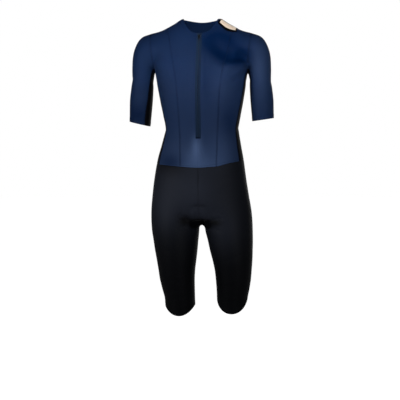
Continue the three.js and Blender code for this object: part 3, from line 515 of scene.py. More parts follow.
    def sleeve_grid(self, top: Points, from_cuff: float, to_cuff: float) -> Points:
        """A sleeve's panel, from the cuff up to the armhole.

        Args:
            top: the panel's line along the armhole.
            from_cuff, to_cuff: the angles between which the panel lies at the cuff.
        Returns:
            Rows of points, the cuff's first.
        """
        outer, inner = self.sleeve_lines()
        middle = (outer[0] + inner[0]) / 2
        way = top - middle
        angles = np.degrees(np.unwrap(np.arctan2(-way[:, 1], way @ unit(outer[0] - inner[0]))))
        angles = angles + round((from_cuff - angles[0]) / 360) * 360
        share = smooth_step(0, 1, np.linspace(0, 1, len(outer)))[:, None]
        cuff = np.linspace(from_cuff, to_cuff, len(top))[None]
        grid = self.sleeve_point(outer[:, None], inner[:, None], mix(angles[None], cuff, share))
        grid[0] = top
        return grid[::-1]


@dataclass
class LegSeams:
    """One leg's front and back panels: the shared waist seam, the crotch, the inseam and the hem."""

    side: Side
    top: TopSeams
    hem_back_rise: float = 4
    crotch_shift: float = 2.5
    edge_power: float = 5

    def __post_init__(self) -> None:
        """Finds the crotch: the height at which the middle of the two legs is open."""
        z = np.linspace(FORM.legs_start, -720, 1200)
        middle = np.stack([self.centre_x(z), LEG.read(z)[3], z], axis=-1)
        self.crotch_z = float(z[np.argmax(FORM.value(middle) >= 0)])

    def centre_x(self, z: np.ndarray) -> np.ndarray:
        """Where the middle line runs, moved a little towards the crotch as it is worn."""
        return self.crotch_shift * smooth_step(FORM.legs_start, FORM.legs_whole, z)

    def levels(self, waist: float) -> tuple[np.ndarray, np.ndarray, int]:
        """Heights from the waist to the hem, for the panel's inner edge and for the rest of it.

        Returns:
            Heights that gather near the crotch, even ones, and how many lie above the crotch or at it.
        """
        t = np.linspace(0, 1, STRIPS.hip + 1)
        gathered = mix(waist, self.crotch_z, 1 - (1 - t) ** 1.7)
        even = mix(waist, self.crotch_z, t)
        below = np.linspace(self.crotch_z, self.side.hem_side_z, STRIPS.thigh + 1)[1:]
        return np.concatenate([gathered, below]), np.concatenate([even, below]), len(t)

    def grid(self, waist: Points, front: bool) -> Points:
        """One panel of the leg, by rays from the leg's middle line.

        Args:
            waist: the panel's stretch of the waist seam, from the side seam to the middle.
            front: whether it is the front panel.
        Returns:
            Rows of points, the hem's first.
        """
        s = self.side
        facing = -1.0 if front else 1.0
        levels, even, above = self.levels(waist[-1, 2])
        leg = LEG.read(levels)
        axis = np.stack([leg[s.leg_column], leg[3], levels], axis=-1)
        inner = np.empty_like(axis)
        middle = np.stack([self.centre_x(levels), leg[3], levels], axis=-1)
        inner[: above - 1] = FORM.leave(middle[: above - 1], [0, facing, 0])
        inner[above - 1] = middle[above - 1]
        inner[above:] = FORM.leave(axis[above:], [-float(s.sign), 0, 0])
        away = inner - axis
        inner_angle = np.arctan2(away[:, 1] * facing, away[:, 0] * s.sign)
        inner_angle = np.where(inner_angle < -math.pi / 2, inner_angle + 2 * math.pi, inner_angle)
        waist_way = waist - axis[0]
        waist_angle = np.arctan2(waist_way[:, 1] * facing, waist_way[:, 0] * s.sign)
        down = (levels[0] - even) / (levels[0] - s.hem_side_z)
        share = smooth_step(0, 0.55, down)[:, None]
        waist_share = (waist_angle - waist_angle[0]) / (waist_angle[-1] - waist_angle[0])
        across = np.linspace(0, 1, len(waist))[None]
        around = mix(waist_share[None], across, share)
        near = across**self.edge_power
        soft_angle = mix(inner_angle[0], math.pi, smooth_step(even[0], self.crotch_z, even))
        last_angle = mix(soft_angle[:, None], inner_angle[:, None], near)
        angle = mix(mix(waist_angle[0], 0.0, share), last_angle, around)
        bow = np.maximum(np.sin(angle), 0)
        hem = s.hem_side_z + (-s.hem_drop * bow**s.hem_power if front else self.hem_back_rise * bow)
        along = mix(down[:, None], (levels[0] - levels)[:, None] / (levels[0] - s.hem_side_z), near)
        z = mix(waist[None, :, 2], hem, along)
        at = LEG.read(z)
        start = np.stack([at[s.leg_column], at[3], z], axis=-1)
        way = np.stack([np.cos(angle) * s.sign, np.sin(angle) * facing, 0 * z], axis=-1)
        grid = FORM.leave(start, way)
        grid[:above, -1] = inner[:above]
        grid[0] = waist
        return grid[::-1]


class Face(Enum):
    """Which way a crease looks: the axis it faces and the two axes in which it is drawn."""

    FRONT = ((0, -1, 0), (0, 2))
    BACK = ((0, 1, 0), (0, 2))
    RIGHT = ((-1, 0, 0), (1, 2))
    LEFT = ((1, 0, 0), (1, 2))


@dataclass(frozen=True)
class Crease:
    """One soft ridge or trough of worn cloth, drawn as a bowed line on one face of the suit."""

    face: Face
    start: tuple[float, float]
    end: tuple[float, float]
    width: float
    height: float
    bow: float = 0.0
    fade: float = 0.35

    def lift(self, p: Points, n: Points) -> np.ndarray:
        """How far the crease moves points: a bell across the line, fading towards its two ends.

        Args:
            p: points on the cloth.
            n: the cloth's normals there.
        Returns:
            The lift at each point, in millimetres.
        """
        facing, (across, up) = self.face.value
        chord = np.subtract(self.end, self.start)
        size = math.hypot(*chord)
        way = chord / size
        dx, dz = p[..., across] - self.start[0], p[..., up] - self.start[1]
        t = (dx * way[0] + dz * way[1]) / size
        aside = dz * way[0] - dx * way[1] - 4 * self.bow * t * (1 - t)
        ends = smooth_step(0, self.fade, t) * smooth_step(0, self.fade, 1 - t)
        seen = smooth_step(0.05, 0.5, n @ np.array(facing, dtype=float))
        return self.height * np.exp(-((aside / self.width) ** 2)) * ends * seen


F, B, R, L = Face
CREASES = (
    # Left armpit: a hollow under the collarbone, the pull across the chest below it, two short dents
    Crease(F, (194, -84), (34, -58), 25, -13.0, 16, 0.3),
    Crease(F, (186, -100), (80, -104), 12, -5.0, 5, 0.3),
    Crease(F, (186, -112), (50, -136), 10, 5.5, 6),
    Crease(F, (176, -143), (102, -188), 7, -4.4, 2),
    Crease(F, (168, -128), (108, -162), 6, 2.6, 3),
    Crease(F, (128, -196), (84, -176), 8, -1.0, 2),
    # Right armpit: a shallower pull
    Crease(F, (-186, -112), (-104, -150), 9, 1.8, -4),
    Crease(F, (-184, -130), (-128, -170), 6, -1.6, 3),
    Crease(F, (-180, -84), (-90, -92), 16, -1.4, 4),
    # The cloth rises a little on both sides of the zip, and puffs out under its foot
    Crease(F, (17, -60), (17, -372), 7, 0.9, 0, 0.15),
    Crease(F, (-17, -60), (-17, -372), 7, 0.9, 0, 0.15),
    Crease(F, (-3, -374), (-3, -470), 17, 1.5, 0, 0.4),
    Crease(F, (-15, -388), (-28, -466), 6, -0.7, 0, 0.4),
    Crease(F, (9, -388), (22, -466), 6, -0.7, 0, 0.4),
    # Waist and flanks
    Crease(F, (118, -292), (64, -330), 10, -1.2, 4),
    Crease(F, (-112, -300), (-60, -322), 10, -0.9, -3),
    Crease(F, (128, -350), (70, -368), 8, 0.8, 3),
    Crease(F, (-126, -346), (-74, -366), 8, 0.8, -3),
    # Lap: shadows that run from the crotch out over both thighs
    Crease(F, (-34, -672), (40, -672), 9, -7.0, 0, 0.25),
    Crease(F, (-30, -664), (-84, -640), 8, -5.0, -4),
    Crease(F, (-34, -682), (-84, -694), 8, -2.2, -3),
    Crease(F, (28, -668), (92, -654), 8, -5.0, 5),
    Crease(F, (-22, -612), (28, -614), 4, -2.2, 5),
    Crease(F, (22, -684), (80, -700), 8, -2.2, 3),
    Crease(F, (-52, -610), (-60, -652), 8, -1.4, 0),
    Crease(F, (50, -606), (60, -650), 8, -1.4, 0),
    Crease(F, (-30, -560), (-120, -520), 14, -0.8, 6),
    Crease(F, (34, -556), (126, -514), 14, -0.8, -6),
    # Thighs and knees
    Crease(F, (-150, -760), (-52, -790), 11, -0.9, 6),
    Crease(F, (160, -772), (72, -800), 11, -0.9, 6),
    Crease(F, (-126, -868), (-50, -886), 8, -0.9, 5),
    Crease(F, (146, -876), (76, -894), 8, -0.9, 5),
    Crease(F, (-118, -930), (-44, -922), 7, 0.7, 4),
    Crease(F, (144, -934), (78, -926), 7, 0.7, 4),
    # Sleeves: soft dents at the bend of the elbow
    Crease(F, (-176, -160), (-232, -196), 8, -1.3, 4),
    Crease(F, (-186, -236), (-240, -222), 9, -0.9, 3),
    Crease(F, (-182, -286), (-246, -300), 8, -1.0, -3),
    Crease(F, (176, -164), (236, -206), 8, -1.2, -4),
    Crease(F, (186, -240), (242, -222), 9, -0.9, -3),
    Crease(F, (188, -274), (244, -290), 8, -0.8, 3),
    # Shoulder blades, armpits and the small of the back
    Crease(B, (172, -112), (96, -142), 10, 2.8, 5),
    Crease(B, (172, -134), (104, -176), 7, -2.0, 3),
    Crease(B, (-172, -116), (-100, -148), 10, 2.4, -5),
    Crease(B, (-172, -140), (-112, -178), 7, -1.8, -3),
    Crease(B, (-4, -60), (0, -330), 16, -1.8, 2, 0.4),
    Crease(B, (112, -318), (18, -346), 10, -2.0, 6),
    Crease(B, (-110, -326), (-24, -350), 9, -1.8, -5),
    Crease(B, (96, -356), (-30, -372), 10, 1.6, 5),
    Crease(B, (-104, -372), (14, -392), 9, -1.6, -6),
    Crease(B, (118, -396), (30, -410), 9, -1.3, 4),
    # Seat and the backs of the thighs
    Crease(B, (0, -520), (0, -650), 12, -2.6, 0, 0.4),
    Crease(B, (20, -680), (140, -664), 11, -2.6, -9),
    Crease(B, (-18, -680), (-136, -660), 11, -2.4, 9),
    Crease(B, (36, -706), (120, -716), 9, -1.4, -4),
    Crease(B, (-30, -708), (-112, -720), 9, -1.4, 4),
    Crease(B, (56, -846), (146, -862), 9, -1.8, 6),
    Crease(B, (64, -876), (140, -884), 8, 1.2, 4),
    Crease(B, (-44, -850), (-126, -866), 9, -1.8, -6),
    Crease(B, (-46, -882), (-118, -892), 8, 1.2, -4),
    # Backs and outsides of the sleeves, and the flanks
    Crease(B, (184, -176), (240, -204), 8, -1.6, -4),
    Crease(B, (186, -228), (244, -242), 9, -1.2, 3),
    Crease(B, (-182, -170), (-238, -200), 8, -1.6, 4),
    Crease(B, (-186, -232), (-244, -248), 9, -1.2, -3),
    Crease(L, (-34, -176), (44, -200), 9, -1.1, 5),
    Crease(R, (-34, -170), (44, -196), 9, -1.1, 5),
    Crease(L, (-44, -356), (40, -344), 9, -1.4, 5),
    Crease(R, (-44, -360), (40, -346), 9, -1.4, 5),
)


@dataclass(frozen=True)
class SeatPad:
    """The pad's outline showing through the legs' cloth: an arch in front, a wider one behind."""

    facing: float
    middle: tuple[float, float]
    half_width: float
    half_height: float
    rise: float
    roundness: float = 2.6
    edge: float = 0.1

    def lift(self, p: Points, n: Points) -> np.ndarray:
        """A low step up inside the outline: the outline is where the powers of both shares sum to one."""
        across = np.abs(p[..., 0] - self.middle[0]) / self.half_width
        up = np.abs(p[..., 2] - self.middle[1]) / self.half_height
        share = (across**self.roundness + up**self.roundness) ** (1 / self.roundness)
        seen = smooth_step(0.0, 0.35, n[..., 1] * self.facing)
        return self.rise * smooth_step(0, self.edge, 1 - share) * seen


SEAT_PADS = (
    SeatPad(-1, (0, -641), 35, 30, 4.5, 2.6, 0.4),
    SeatPad(1, (2, -650), 66, 92, 1.2, 2.4, 0.07),
)


def worn_lift(p: Points, n: Points) -> np.ndarray:
    """How far creases and the seat pad move the cloth at each point, in millimetres."""
    return sum(relief.lift(p, n) for relief in CREASES + SEAT_PADS)


def on_cloth(p: Points, height: np.ndarray) -> Points:
    """Points moved from the plain form to a height over the creased cloth."""
    n = FORM.normal(p)
    return p + n * (worn_lift(p, n) + height)[..., None]


@dataclass(frozen=True)
class PaintedLightSpot:
    """A soft patch of painted light that makes the knit paler (+), or of painted shade that makes it deeper (-)."""

    middle: tuple[float, float]
    half_size: tuple[float, float]
    amount: float
    behind: float = 0.0
    power: float = 2.0

    def tone(self, p: Points) -> np.ndarray:
        """How pale each point is: a bell, flat-topped at a high power, over the distances in x and in z."""
        across = np.abs(p[..., 0] - self.middle[0]) / self.half_size[0]
        up = np.abs(p[..., 2] - self.middle[1]) / self.half_size[1]
        front = mix(self.behind, 1, smooth_step(-30, 40, -p[..., 1]))
        return self.amount * np.exp(-(across**self.power) - up**self.power) * front


PAINTED_LIGHT_SPOTS = (
    # Painted light: an even lightening over the whole top, behind as well, which the painted shade below takes back in
    # places; painted highlights on the seat, the lap and both thighs
    PaintedLightSpot((0, -260), (420, 300), 0.155, 1.0),
    PaintedLightSpot((-50, -560), (150, 130), 0.68, 0.6),
    PaintedLightSpot((88, -690), (60, 80), 0.36, 0.6),
    PaintedLightSpot((-124, -636), (40, 70), 0.28, 0.6),
    PaintedLightSpot((0, -550), (40, 60), 0.1),
    # Painted highlight under the zip's foot; along the waist seam a faint painted highlight, and painted shade on the
    # wearer's right
    PaintedLightSpot((-6, -404), (16, 34), 0.45),
    PaintedLightSpot((-8, -440), (34, 34), 0.22),
    PaintedLightSpot((26, -470), (64, 24), 0.08),
    PaintedLightSpot((-92, -466), (48, 34), -0.34),
    # Painted shade in the hollow under the left collarbone, beside the zip and at the flank; painted highlights over
    # the chest, the belly and the left sleeve
    PaintedLightSpot((118, -98), (54, 30), -0.2),
    PaintedLightSpot((62, -54), (50, 36), -0.18),
    PaintedLightSpot((126, -146), (46, 13), 0.03),
    PaintedLightSpot((30, -200), (20, 70), -0.05),
    PaintedLightSpot((102, -322), (26, 50), -0.07),
    PaintedLightSpot((76, -196), (40, 46), 0.05),
    PaintedLightSpot((78, -426), (40, 70), 0.15),
    PaintedLightSpot((212, -130), (34, 110), 0.16, 1.0),
    # Painted shade in the hollows at the crotch and along the seat pad's arch; a painted highlight on the pad's bulge
    PaintedLightSpot((6, -674), (34, 16), -0.9, 0.0, 4.0),
    PaintedLightSpot((-46, -660), (22, 17), -0.5),
    PaintedLightSpot((56, -668), (22, 11), -0.5),
    PaintedLightSpot((2, -608), (26, 5), -0.14, 0.0, 4.0),
    PaintedLightSpot((0, -636), (30, 16), 0.26),
    # Painted shade at the right cuff
    PaintedLightSpot((-222, -296), (32, 34), -0.09, 1.0),
)


def painted_light_tone(p: Points) -> np.ndarray:
    """The painted light at each point, from 0 to 1: the spots' painted highlights less their painted shade."""
    return np.clip(sum(spot.tone(p) for spot in PAINTED_LIGHT_SPOTS), 0, 1)


@dataclass(frozen=True)
class Swatch:
    """An sRGB colour as a hex number."""

    code: int

    def linear(self) -> tuple[float, float, float, float]:
        """The colour in linear light, by the sRGB curve."""
        parts = [((self.code >> shift) & 255) / 255 for shift in (16, 8, 0)]
        lit = [c / 12.92 if c <= 0.04045 else ((c + 0.055) / 1.055) ** 2.4 for c in parts]
        return (*lit, 1.0)


def add_node(tree: bpy.types.NodeTree, kind: str, settings: dict, links: dict) -> bpy.types.Node:
    """Adds one shader node with its settings and incoming links.

    Args:
        tree: the material's node tree.
        kind: the node's type name.
        settings: values by attribute name, or by input name or number where there is no such attribute.
        links: for each input name or number, the output socket that feeds it.
    Returns:
        The new node.
    """
    node = tree.nodes.new(kind)
    for key, value in settings.items():
        if isinstance(key, str) and hasattr(node, key):
            setattr(node, key, value)
        else:
            node.inputs[key].default_value = value
    for key, socket in links.items():
        tree.links.new(socket, node.inputs[key])
    return node


def new_material(name: str) -> tuple[bpy.types.Material, bpy.types.NodeTree, bpy.types.Node]:
    """A material with an empty Principled shader: the material, its tree and the shader."""
    material = bpy.data.materials.new(name)
    material.use_nodes = True
    shader = material.node_tree.nodes["Principled BSDF"]
    return material, material.node_tree, shader


@dataclass(frozen=True)
class StretchKnit:
    """Warp-knitted polyamide and elastane, smooth on the face: a fine dull rib, with painted light and shade mixed into
    its colour.

    The real wales lie 0.5 mm apart. They are drawn 1.5 mm apart, because finer ones don't show.
    """

    name: str
    base: Swatch
    worn: Swatch
    # The pale colour of the painted highlight: painted light mixes the knit towards it
    thin: Swatch
    roughness: float
    specular: float
    wale_mm: float = 1.5
    bump: float = 0.25

    def make(self) -> bpy.types.Material:
        """Fine wales across and courses along, broken up by noise, with a slow change of tone."""
        material, tree, shader = new_material(self.name)
        uv = add_node(tree, "ShaderNodeUVMap", {"uv_map": "cloth"}, {})
        scale = 1 / (self.wale_mm * MM)
        wales = add_node(
            tree,
            "ShaderNodeTexWave",
            {"wave_type": "BANDS", "bands_direction": "X", "Scale": scale / 6.283, "Distortion": 0.6,
             "Detail": 1.0, "Detail Scale": 2.0},
            {"Vector": uv.outputs["UV"]},
        )
        courses = add_node(
            tree,
            "ShaderNodeTexWave",
            {"wave_type": "BANDS", "bands_direction": "Y", "Scale": scale / 6.283 * 0.8, "Distortion": 0.8,
             "Detail": 1.0, "Detail Scale": 2.0},
            {"Vector": uv.outputs["UV"]},
        )
        loops = add_node(
            tree, "ShaderNodeMath", {"operation": "MULTIPLY"}, {0: wales.outputs["Fac"], 1: courses.outputs["Fac"]}
        )
        slub = add_node(
            tree, "ShaderNodeTexNoise", {"Scale": 900.0, "Detail": 3.0, "Roughness": 0.6},
            {"Vector": uv.outputs["UV"]},
        )
        relief = add_node(
            tree, "ShaderNodeMath", {"operation": "MULTIPLY_ADD", 1: 0.5}, {0: slub.outputs["Fac"], 2: loops.outputs[0]}
        )
        bump = add_node(
            tree, "ShaderNodeBump", {"Strength": self.bump, "Distance": 0.0003}, {"Height": relief.outputs[0]}
        )
        place = add_node(tree, "ShaderNodeTexCoord", {}, {})
        tone = add_node(
            tree, "ShaderNodeTexNoise", {"Scale": 9.0, "Detail": 4.0, "Roughness": 0.55},
            {"Vector": place.outputs["Object"]},
        )
        spread = add_node(
            tree, "ShaderNodeMapRange", {"From Min": 0.3, "From Max": 0.7, "To Min": 0.0, "To Max": 0.7},
            {"Value": tone.outputs["Fac"]},
        )
        depth = add_node(
            tree, "ShaderNodeMath", {"operation": "MULTIPLY_ADD", 1: 0.3}, {0: loops.outputs[0], 2: spread.outputs[0]}
        )
        colour = add_node(
            tree, "ShaderNodeMix",
            {"data_type": "RGBA", 6: self.base.linear(), 7: self.worn.linear()}, {0: depth.outputs[0]},
        )
        gloss = add_node(
            tree, "ShaderNodeMapRange",
            {"From Min": 0.2, "From Max": 0.8, "To Min": self.roughness - 0.05, "To Max": self.roughness + 0.06},
            {"Value": slub.outputs["Fac"]},
        )
        # Painted light and shade: the mesh's attribute mixes the colour towards the pale painted highlight colour
        pull = add_node(tree, "ShaderNodeAttribute", {"attribute_name": "painted_light_tone"}, {})
        colour = add_node(
            tree, "ShaderNodeMix", {"data_type": "RGBA", 7: self.thin.linear()},
            {0: pull.outputs["Fac"], 6: colour.outputs[2]},
        )
        tree.links.new(colour.outputs[2], shader.inputs["Base Color"])
        tree.links.new(gloss.outputs[0], shader.inputs["Roughness"])
        tree.links.new(bump.outputs["Normal"], shader.inputs["Normal"])
        shader.inputs["IOR"].default_value = 1.46
        shader.inputs["Specular IOR Level"].default_value = self.specular
        return material


@dataclass(frozen=True)
class WovenTape:
    """Woven polyester zip tape: a tight herringbone, duller than the knit beside it."""

    name: str
    base: Swatch
    light: Swatch
    rib_mm: float = 1.2

    def make(self) -> bpy.types.Material:
        """Slanted ribs from two crossed waves, lighter on their crowns."""
        material, tree, shader = new_material(self.name)
        uv = add_node(tree, "ShaderNodeUVMap", {"uv_map": "cloth"}, {})
        ribs = add_node(
            tree,
            "ShaderNodeTexWave",
            {"wave_type": "BANDS", "bands_direction": "DIAGONAL", "Scale": 1 / (self.rib_mm * MM * 6.283),
             "Distortion": 0.4, "Detail": 1.0},
            {"Vector": uv.outputs["UV"]},
        )
        colour = add_node(
            tree, "ShaderNodeMix",
            {"data_type": "RGBA", 6: self.base.linear(), 7: self.light.linear()}, {0: ribs.outputs["Fac"]},
        )
        bump = add_node(
            tree, "ShaderNodeBump", {"Strength": 0.4, "Distance": 0.0003}, {"Height": ribs.outputs["Fac"]}
        )
        tree.links.new(colour.outputs[2], shader.inputs["Base Color"])
        tree.links.new(bump.outputs["Normal"], shader.inputs["Normal"])
        shader.inputs["Roughness"].default_value = 0.85
        shader.inputs["Specular IOR Level"].default_value = 0.15
        return material


@dataclass(frozen=True)
class PlainFinish:
    """A smooth finish with fine grain: its grain breaks up the gloss and tones the colour slightly."""

    name: str
    base: Swatch
    worn: Swatch
    roughness: float
    specular: float = 0.5
    grain: float = 800.0
    bump: float = 0.15

    def make(self) -> bpy.types.Material:
        """Noise on Object coordinates drives tone, gloss and a little relief."""
        material, tree, shader = new_material(self.name)
        place = add_node(tree, "ShaderNodeTexCoord", {}, {})
        grain = add_node(
            tree, "ShaderNodeTexNoise", {"Scale": self.grain, "Detail": 4.0}, {"Vector": place.outputs["Object"]}
        )
        colour = add_node(
            tree, "ShaderNodeMix",
            {"data_type": "RGBA", 6: self.base.linear(), 7: self.worn.linear()}, {0: grain.outputs["Fac"]},
        )
        gloss = add_node(
            tree, "ShaderNodeMapRange",
            {"From Min": 0.3, "From Max": 0.7, "To Min": self.roughness - 0.07, "To Max": self.roughness + 0.07},
            {"Value": grain.outputs["Fac"]},
        )
        bump = add_node(
            tree, "ShaderNodeBump", {"Strength": self.bump, "Distance": 0.0002}, {"Height": grain.outputs["Fac"]}
        )
        tree.links.new(colour.outputs[2], shader.inputs["Base Color"])
        tree.links.new(gloss.outputs[0], shader.inputs["Roughness"])
        tree.links.new(bump.outputs["Normal"], shader.inputs["Normal"])
        shader.inputs["Specular IOR Level"].default_value = self.specular
        return material


# Each knit's third colour is its painted highlight, towards which the painted light spots mix it
NAVY_KNIT = StretchKnit("navy polyamide knit", Swatch(0x00122F), Swatch(0x00183B), Swatch(0x4A5E84), 0.62, 0.04)
BLACK_KNIT = StretchKnit("black polyamide knit", Swatch(0x030407), Swatch(0x06070B), Swatch(0x272B36), 0.6, 0.07)
ZIP_WEAVE = WovenTape("woven polyester zip tape", Swatch(0x0A1A2E), Swatch(0x12263E))
NYLON_COIL = PlainFinish("nylon zip coil", Swatch(0x07111F), Swatch(0x0D1B2E), 0.6, 0.1)
ENAMELLED_ZINC = PlainFinish("die-cast zinc with dark enamel", Swatch(0x010409), Swatch(0x02070F), 0.6, 0.12)
NAVY_THREAD = PlainFinish("navy polyester thread", Swatch(0x010A20), Swatch(0x03122E), 0.7, 0.05)
BLACK_THREAD = PlainFinish("black polyester thread", Swatch(0x14161B), Swatch(0x1A1C22), 0.7, 0.1)
LABEL_FILM = PlainFinish("peach bonded film", Swatch(0xE6D0B8), Swatch(0xEFDCC8), 0.5, 0.3, 300.0)
LABEL_EDGE = PlainFinish("dark bonded film", Swatch(0x010102), Swatch(0x030304), 0.7, 0.04)


def new_object(name: str, points: Points, faces: np.ndarray, materials: list, slot: str) -> bpy.types.Object:
    """A smooth-shaded mesh object at the origin that rides on the suit.

    Args:
        name: the piece's name.
        points: its vertices in millimetres, as rows of x, y and z.
        faces: rows of vertex numbers.
        materials: its materials, the first for all faces until told otherwise.
        slot: the record's material slot; not used.
    Returns:
        The object, linked to the scene.
    """
    mesh = bpy.data.meshes.new(name)
    mesh.from_pydata(points * MM, [], faces)
    for material in materials:
        mesh.materials.append(material)
    mesh.shade_smooth()
    piece = bpy.data.objects.new(name, mesh)
    bpy.context.collection.objects.link(piece)
    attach(piece, BODY)
    log.info("%s: %d faces", name, len(mesh.polygons))
    return piece


def give_uv(piece: bpy.types.Object, uv: np.ndarray) -> None:
    """Writes one UV pair for each vertex into the piece's cloth map."""
    mesh = piece.data
    corners = np.empty(len(mesh.loops), dtype=np.int32)
    mesh.loops.foreach_get("vertex_index", corners)
    layer = mesh.uv_layers.new(name="cloth")
    layer.data.foreach_set("uv", uv[corners].astype(np.float32).ravel())


def grid_quads(rows: int, columns: int) -> np.ndarray:
    """The quads of a grid whose points are numbered row by row."""
    first = (np.arange(rows - 1)[:, None] * columns + np.arange(columns - 1)[None]).ravel()
    return np.stack([first, first + 1, first + 1 + columns, first + columns], axis=-1)


def wall_mesh(outer: Points, inner: Points) -> tuple[Points, np.ndarray]:
    """A closed wall between two grids: both faces and the rim round them, facing outwards.

    Args:
        outer, inner: grids of the same size, the outer face's and the inner one's.
    Returns:
        The vertices and the faces.
    """
    rows, columns = outer.shape[:2]
    layer = rows * columns
    face = grid_quads(rows, columns)
    numbers = np.arange(layer).reshape(rows, columns)
    ring = np.concatenate([numbers[0, :-1], numbers[:-1, -1], numbers[-1, :0:-1], numbers[:0:-1, 0]])
    after = np.roll(ring, -1)
    rim = np.stack([after, ring, ring + layer, after + layer], axis=-1)
    faces = np.concatenate([face, face[:, ::-1] + layer, rim])
    i, j = rows // 2, columns // 2
    turn = np.cross(outer[i, j] - outer[i, j - 1], outer[i, j] - outer[i - 1, j])
    if turn @ (inner[i, j] - outer[i, j]) > 0:
        faces = faces[:, ::-1]
    return np.concatenate([outer.reshape(-1, 3), inner.reshape(-1, 3)]), faces


def spans(grid: Points, axis: int) -> np.ndarray:
    """The distance run along each line of a grid from its first point, in millimetres."""
    steps = np.linalg.norm(np.diff(grid, axis=axis), axis=-1)
    start = np.zeros_like(steps.take([0], axis=axis))
    return np.concatenate([start, np.cumsum(steps, axis=axis)], axis=axis)


def cloth_uv(grid: Points) -> np.ndarray:
    """UV in metres: the distance along each row and along each column."""
    return np.stack([spans(grid, 1), spans(grid, 0)], axis=-1).reshape(-1, 2) * MM


@dataclass(frozen=True)
class Cut:
    """The flat size of a cut piece in metres, its area in square metres, and how much of the painted light and shade it
    shows.
    """

    width: float
    length: float
    area: float
    # How much of the painted light and shade the piece shows
    pull: float = 1.0


# The flat size of what shows of each cut piece; knit is worn stretched by about a tenth of its area
CUTS = {
    "front_center": Cut(0.16, 0.52, 0.036),
    "front_side": Cut(0.16, 0.48, 0.041),
    "side_panel": Cut(0.12, 0.33, 0.025, 0.0),
    "back": Cut(0.48, 0.56, 0.149),
    "sleeve": Cut(0.34, 0.32, 0.059),
    "sleeve_underarm": Cut(0.11, 0.21, 0.0108, 0.0),
    "collar": Cut(0.46, 0.02, 0.0082),
    "short_front": Cut(0.28, 0.56, 0.122),
    "short_back": Cut(0.3, 0.54, 0.138),
    "zip_tape": Cut(0.012, 0.37, 0.0035),
    "shoulder_label": Cut(0.05, 0.072, 0.0034),
}


@dataclass(frozen=True)
class ClothWall:
    """How every cut piece is finished: its thickness, the dip at its seams and its turned hem."""

    thickness: float = 1.1
    seam_dip: float = 0.6
    edge_shares: tuple[float, float] = (0.28, 0.62)
    edge_dips: tuple[float, float, float] = (1.0, 0.45, 0.1)
    hem_depth: float = 15.0
    hem_rise: float = 0.45

    def edged(self, grid: Points, dip: np.ndarray, first: bool, last: bool) -> tuple[Points, np.ndarray]:
        """Adds two close rows beside the grid's first or last row, and says how far each one dips."""
        if last:
            grid, dip = self.edged(grid[::-1], dip[::-1], True, False)
            grid, dip = grid[::-1], dip[::-1]
        if first:
            close, near = self.edge_shares
            dips = [np.maximum(dip[0], depth) for depth in self.edge_dips]
            rows = np.stack([grid[0], mix(grid[0], grid[1], close), mix(grid[0], grid[1], near)])
            grid, dip = np.concatenate([rows, grid[1:]]), np.concatenate([np.stack(dips), dip[1:]])
        return grid, dip

    def build(self, name: str, grid: Points, sewn: str, finish: bpy.types.Material, slot: str) -> None:
        """Makes one cut piece: the creased outer face, and the inner face one thickness in.

        Args:
            name: the node it stands for.
            grid: rows of points on the form, the lowest row first.
            sewn: the names of its sewn edges, out of bottom, top, start and end.
            finish: its material.
            slot: the record's material slot.
        """
        dip = np.zeros(grid.shape[:2])
        grid, dip = self.edged(grid, dip, "bottom" in sewn, "top" in sewn)
        turned, turned_dip = self.edged(grid.swapaxes(0, 1), dip.T, "start" in sewn, "end" in sewn)
        grid, dip = turned.swapaxes(0, 1), turned_dip.T
        hem = np.zeros(grid.shape[:2])
        if "hem" in sewn:
            hem = 1 - smooth_step(self.hem_depth - 1.5, self.hem_depth + 1.5, spans(grid, 0))
        normal = FORM.normal(grid)
        lift = worn_lift(grid, normal) - self.seam_dip * dip + self.hem_rise * hem
        outer = grid + normal * lift[..., None]
        inner = outer - normal * (self.thickness + 2 * self.hem_rise * hem)[..., None]
        points, faces = wall_mesh(outer, inner)
        piece = new_object(f"{name}_knit", points, faces, [finish], slot)
        give_uv(piece, np.tile(cloth_uv(grid), (2, 1)))
        # Painted light and shade, written into a point attribute that the knit's colour reads
        tone = piece.data.attributes.new("painted_light_tone", "FLOAT", "POINT")
        cut = CUTS[name.replace("_right", "").replace("_left", "")]
        tone.data.foreach_set("value", (cut.pull * painted_light_tone(points)).astype(np.float32))
        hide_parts(name)


@dataclass(frozen=True)
class Thread:
    """Sewing thread on the cloth: each stitch is a closed four-sided bead that tapers to both ends."""

    radius: float = 0.34
    stations: tuple[float, ...] = (-1.0, -0.45, 0.45, 1.0)
    sizes: tuple[float, ...] = (0.3, 1.0, 1.0, 0.3)

    def beads(self, middle: Points, way: Points, up: Points, length: np.ndarray) -> tuple[Points, np.ndarray]:
        """Makes one bead at each middle point.

        Args:
            middle: the beads' middles.
            way: unit vectors along the beads.
            up: the cloth's normals.
            length: the beads' lengths.
        Returns:
            The vertices and the faces of all beads.
        """
        across = unit(np.cross(way, up))
        rise = np.cross(across, way)
        turn = np.radians([45, 135, 225, 315])
        ring = across[:, None] * np.cos(turn)[None, :, None] + rise[:, None] * np.sin(turn)[None, :, None]
        at = np.array(self.stations)[None, :, None, None]
        size = np.array(self.sizes)[None, :, None, None] * self.radius
        half = np.broadcast_to(length, len(middle))[:, None, None, None] / 2
        points = middle[:, None, None] + way[:, None, None] * half * at + ring[:, None] * size
        rings, sides = len(self.stations), len(turn)
        i, j = np.meshgrid(np.arange(rings - 1), np.arange(sides), indexing="ij")
        k = (j + 1) % sides
        band = np.stack([i * sides + j, i * sides + k, (i + 1) * sides + k, (i + 1) * sides + j], axis=-1)
        last = (rings - 1) * sides
        caps = np.array([[3, 2, 1, 0], [last, last + 1, last + 2, last + 3]])
        bead = np.concatenate([band.reshape(-1, 4), caps])
        offsets = np.arange(len(middle)) * rings * sides
        return points.reshape(-1, 3), (bead[None] + offsets[:, None, None]).reshape(-1, 4)


THREAD = Thread()


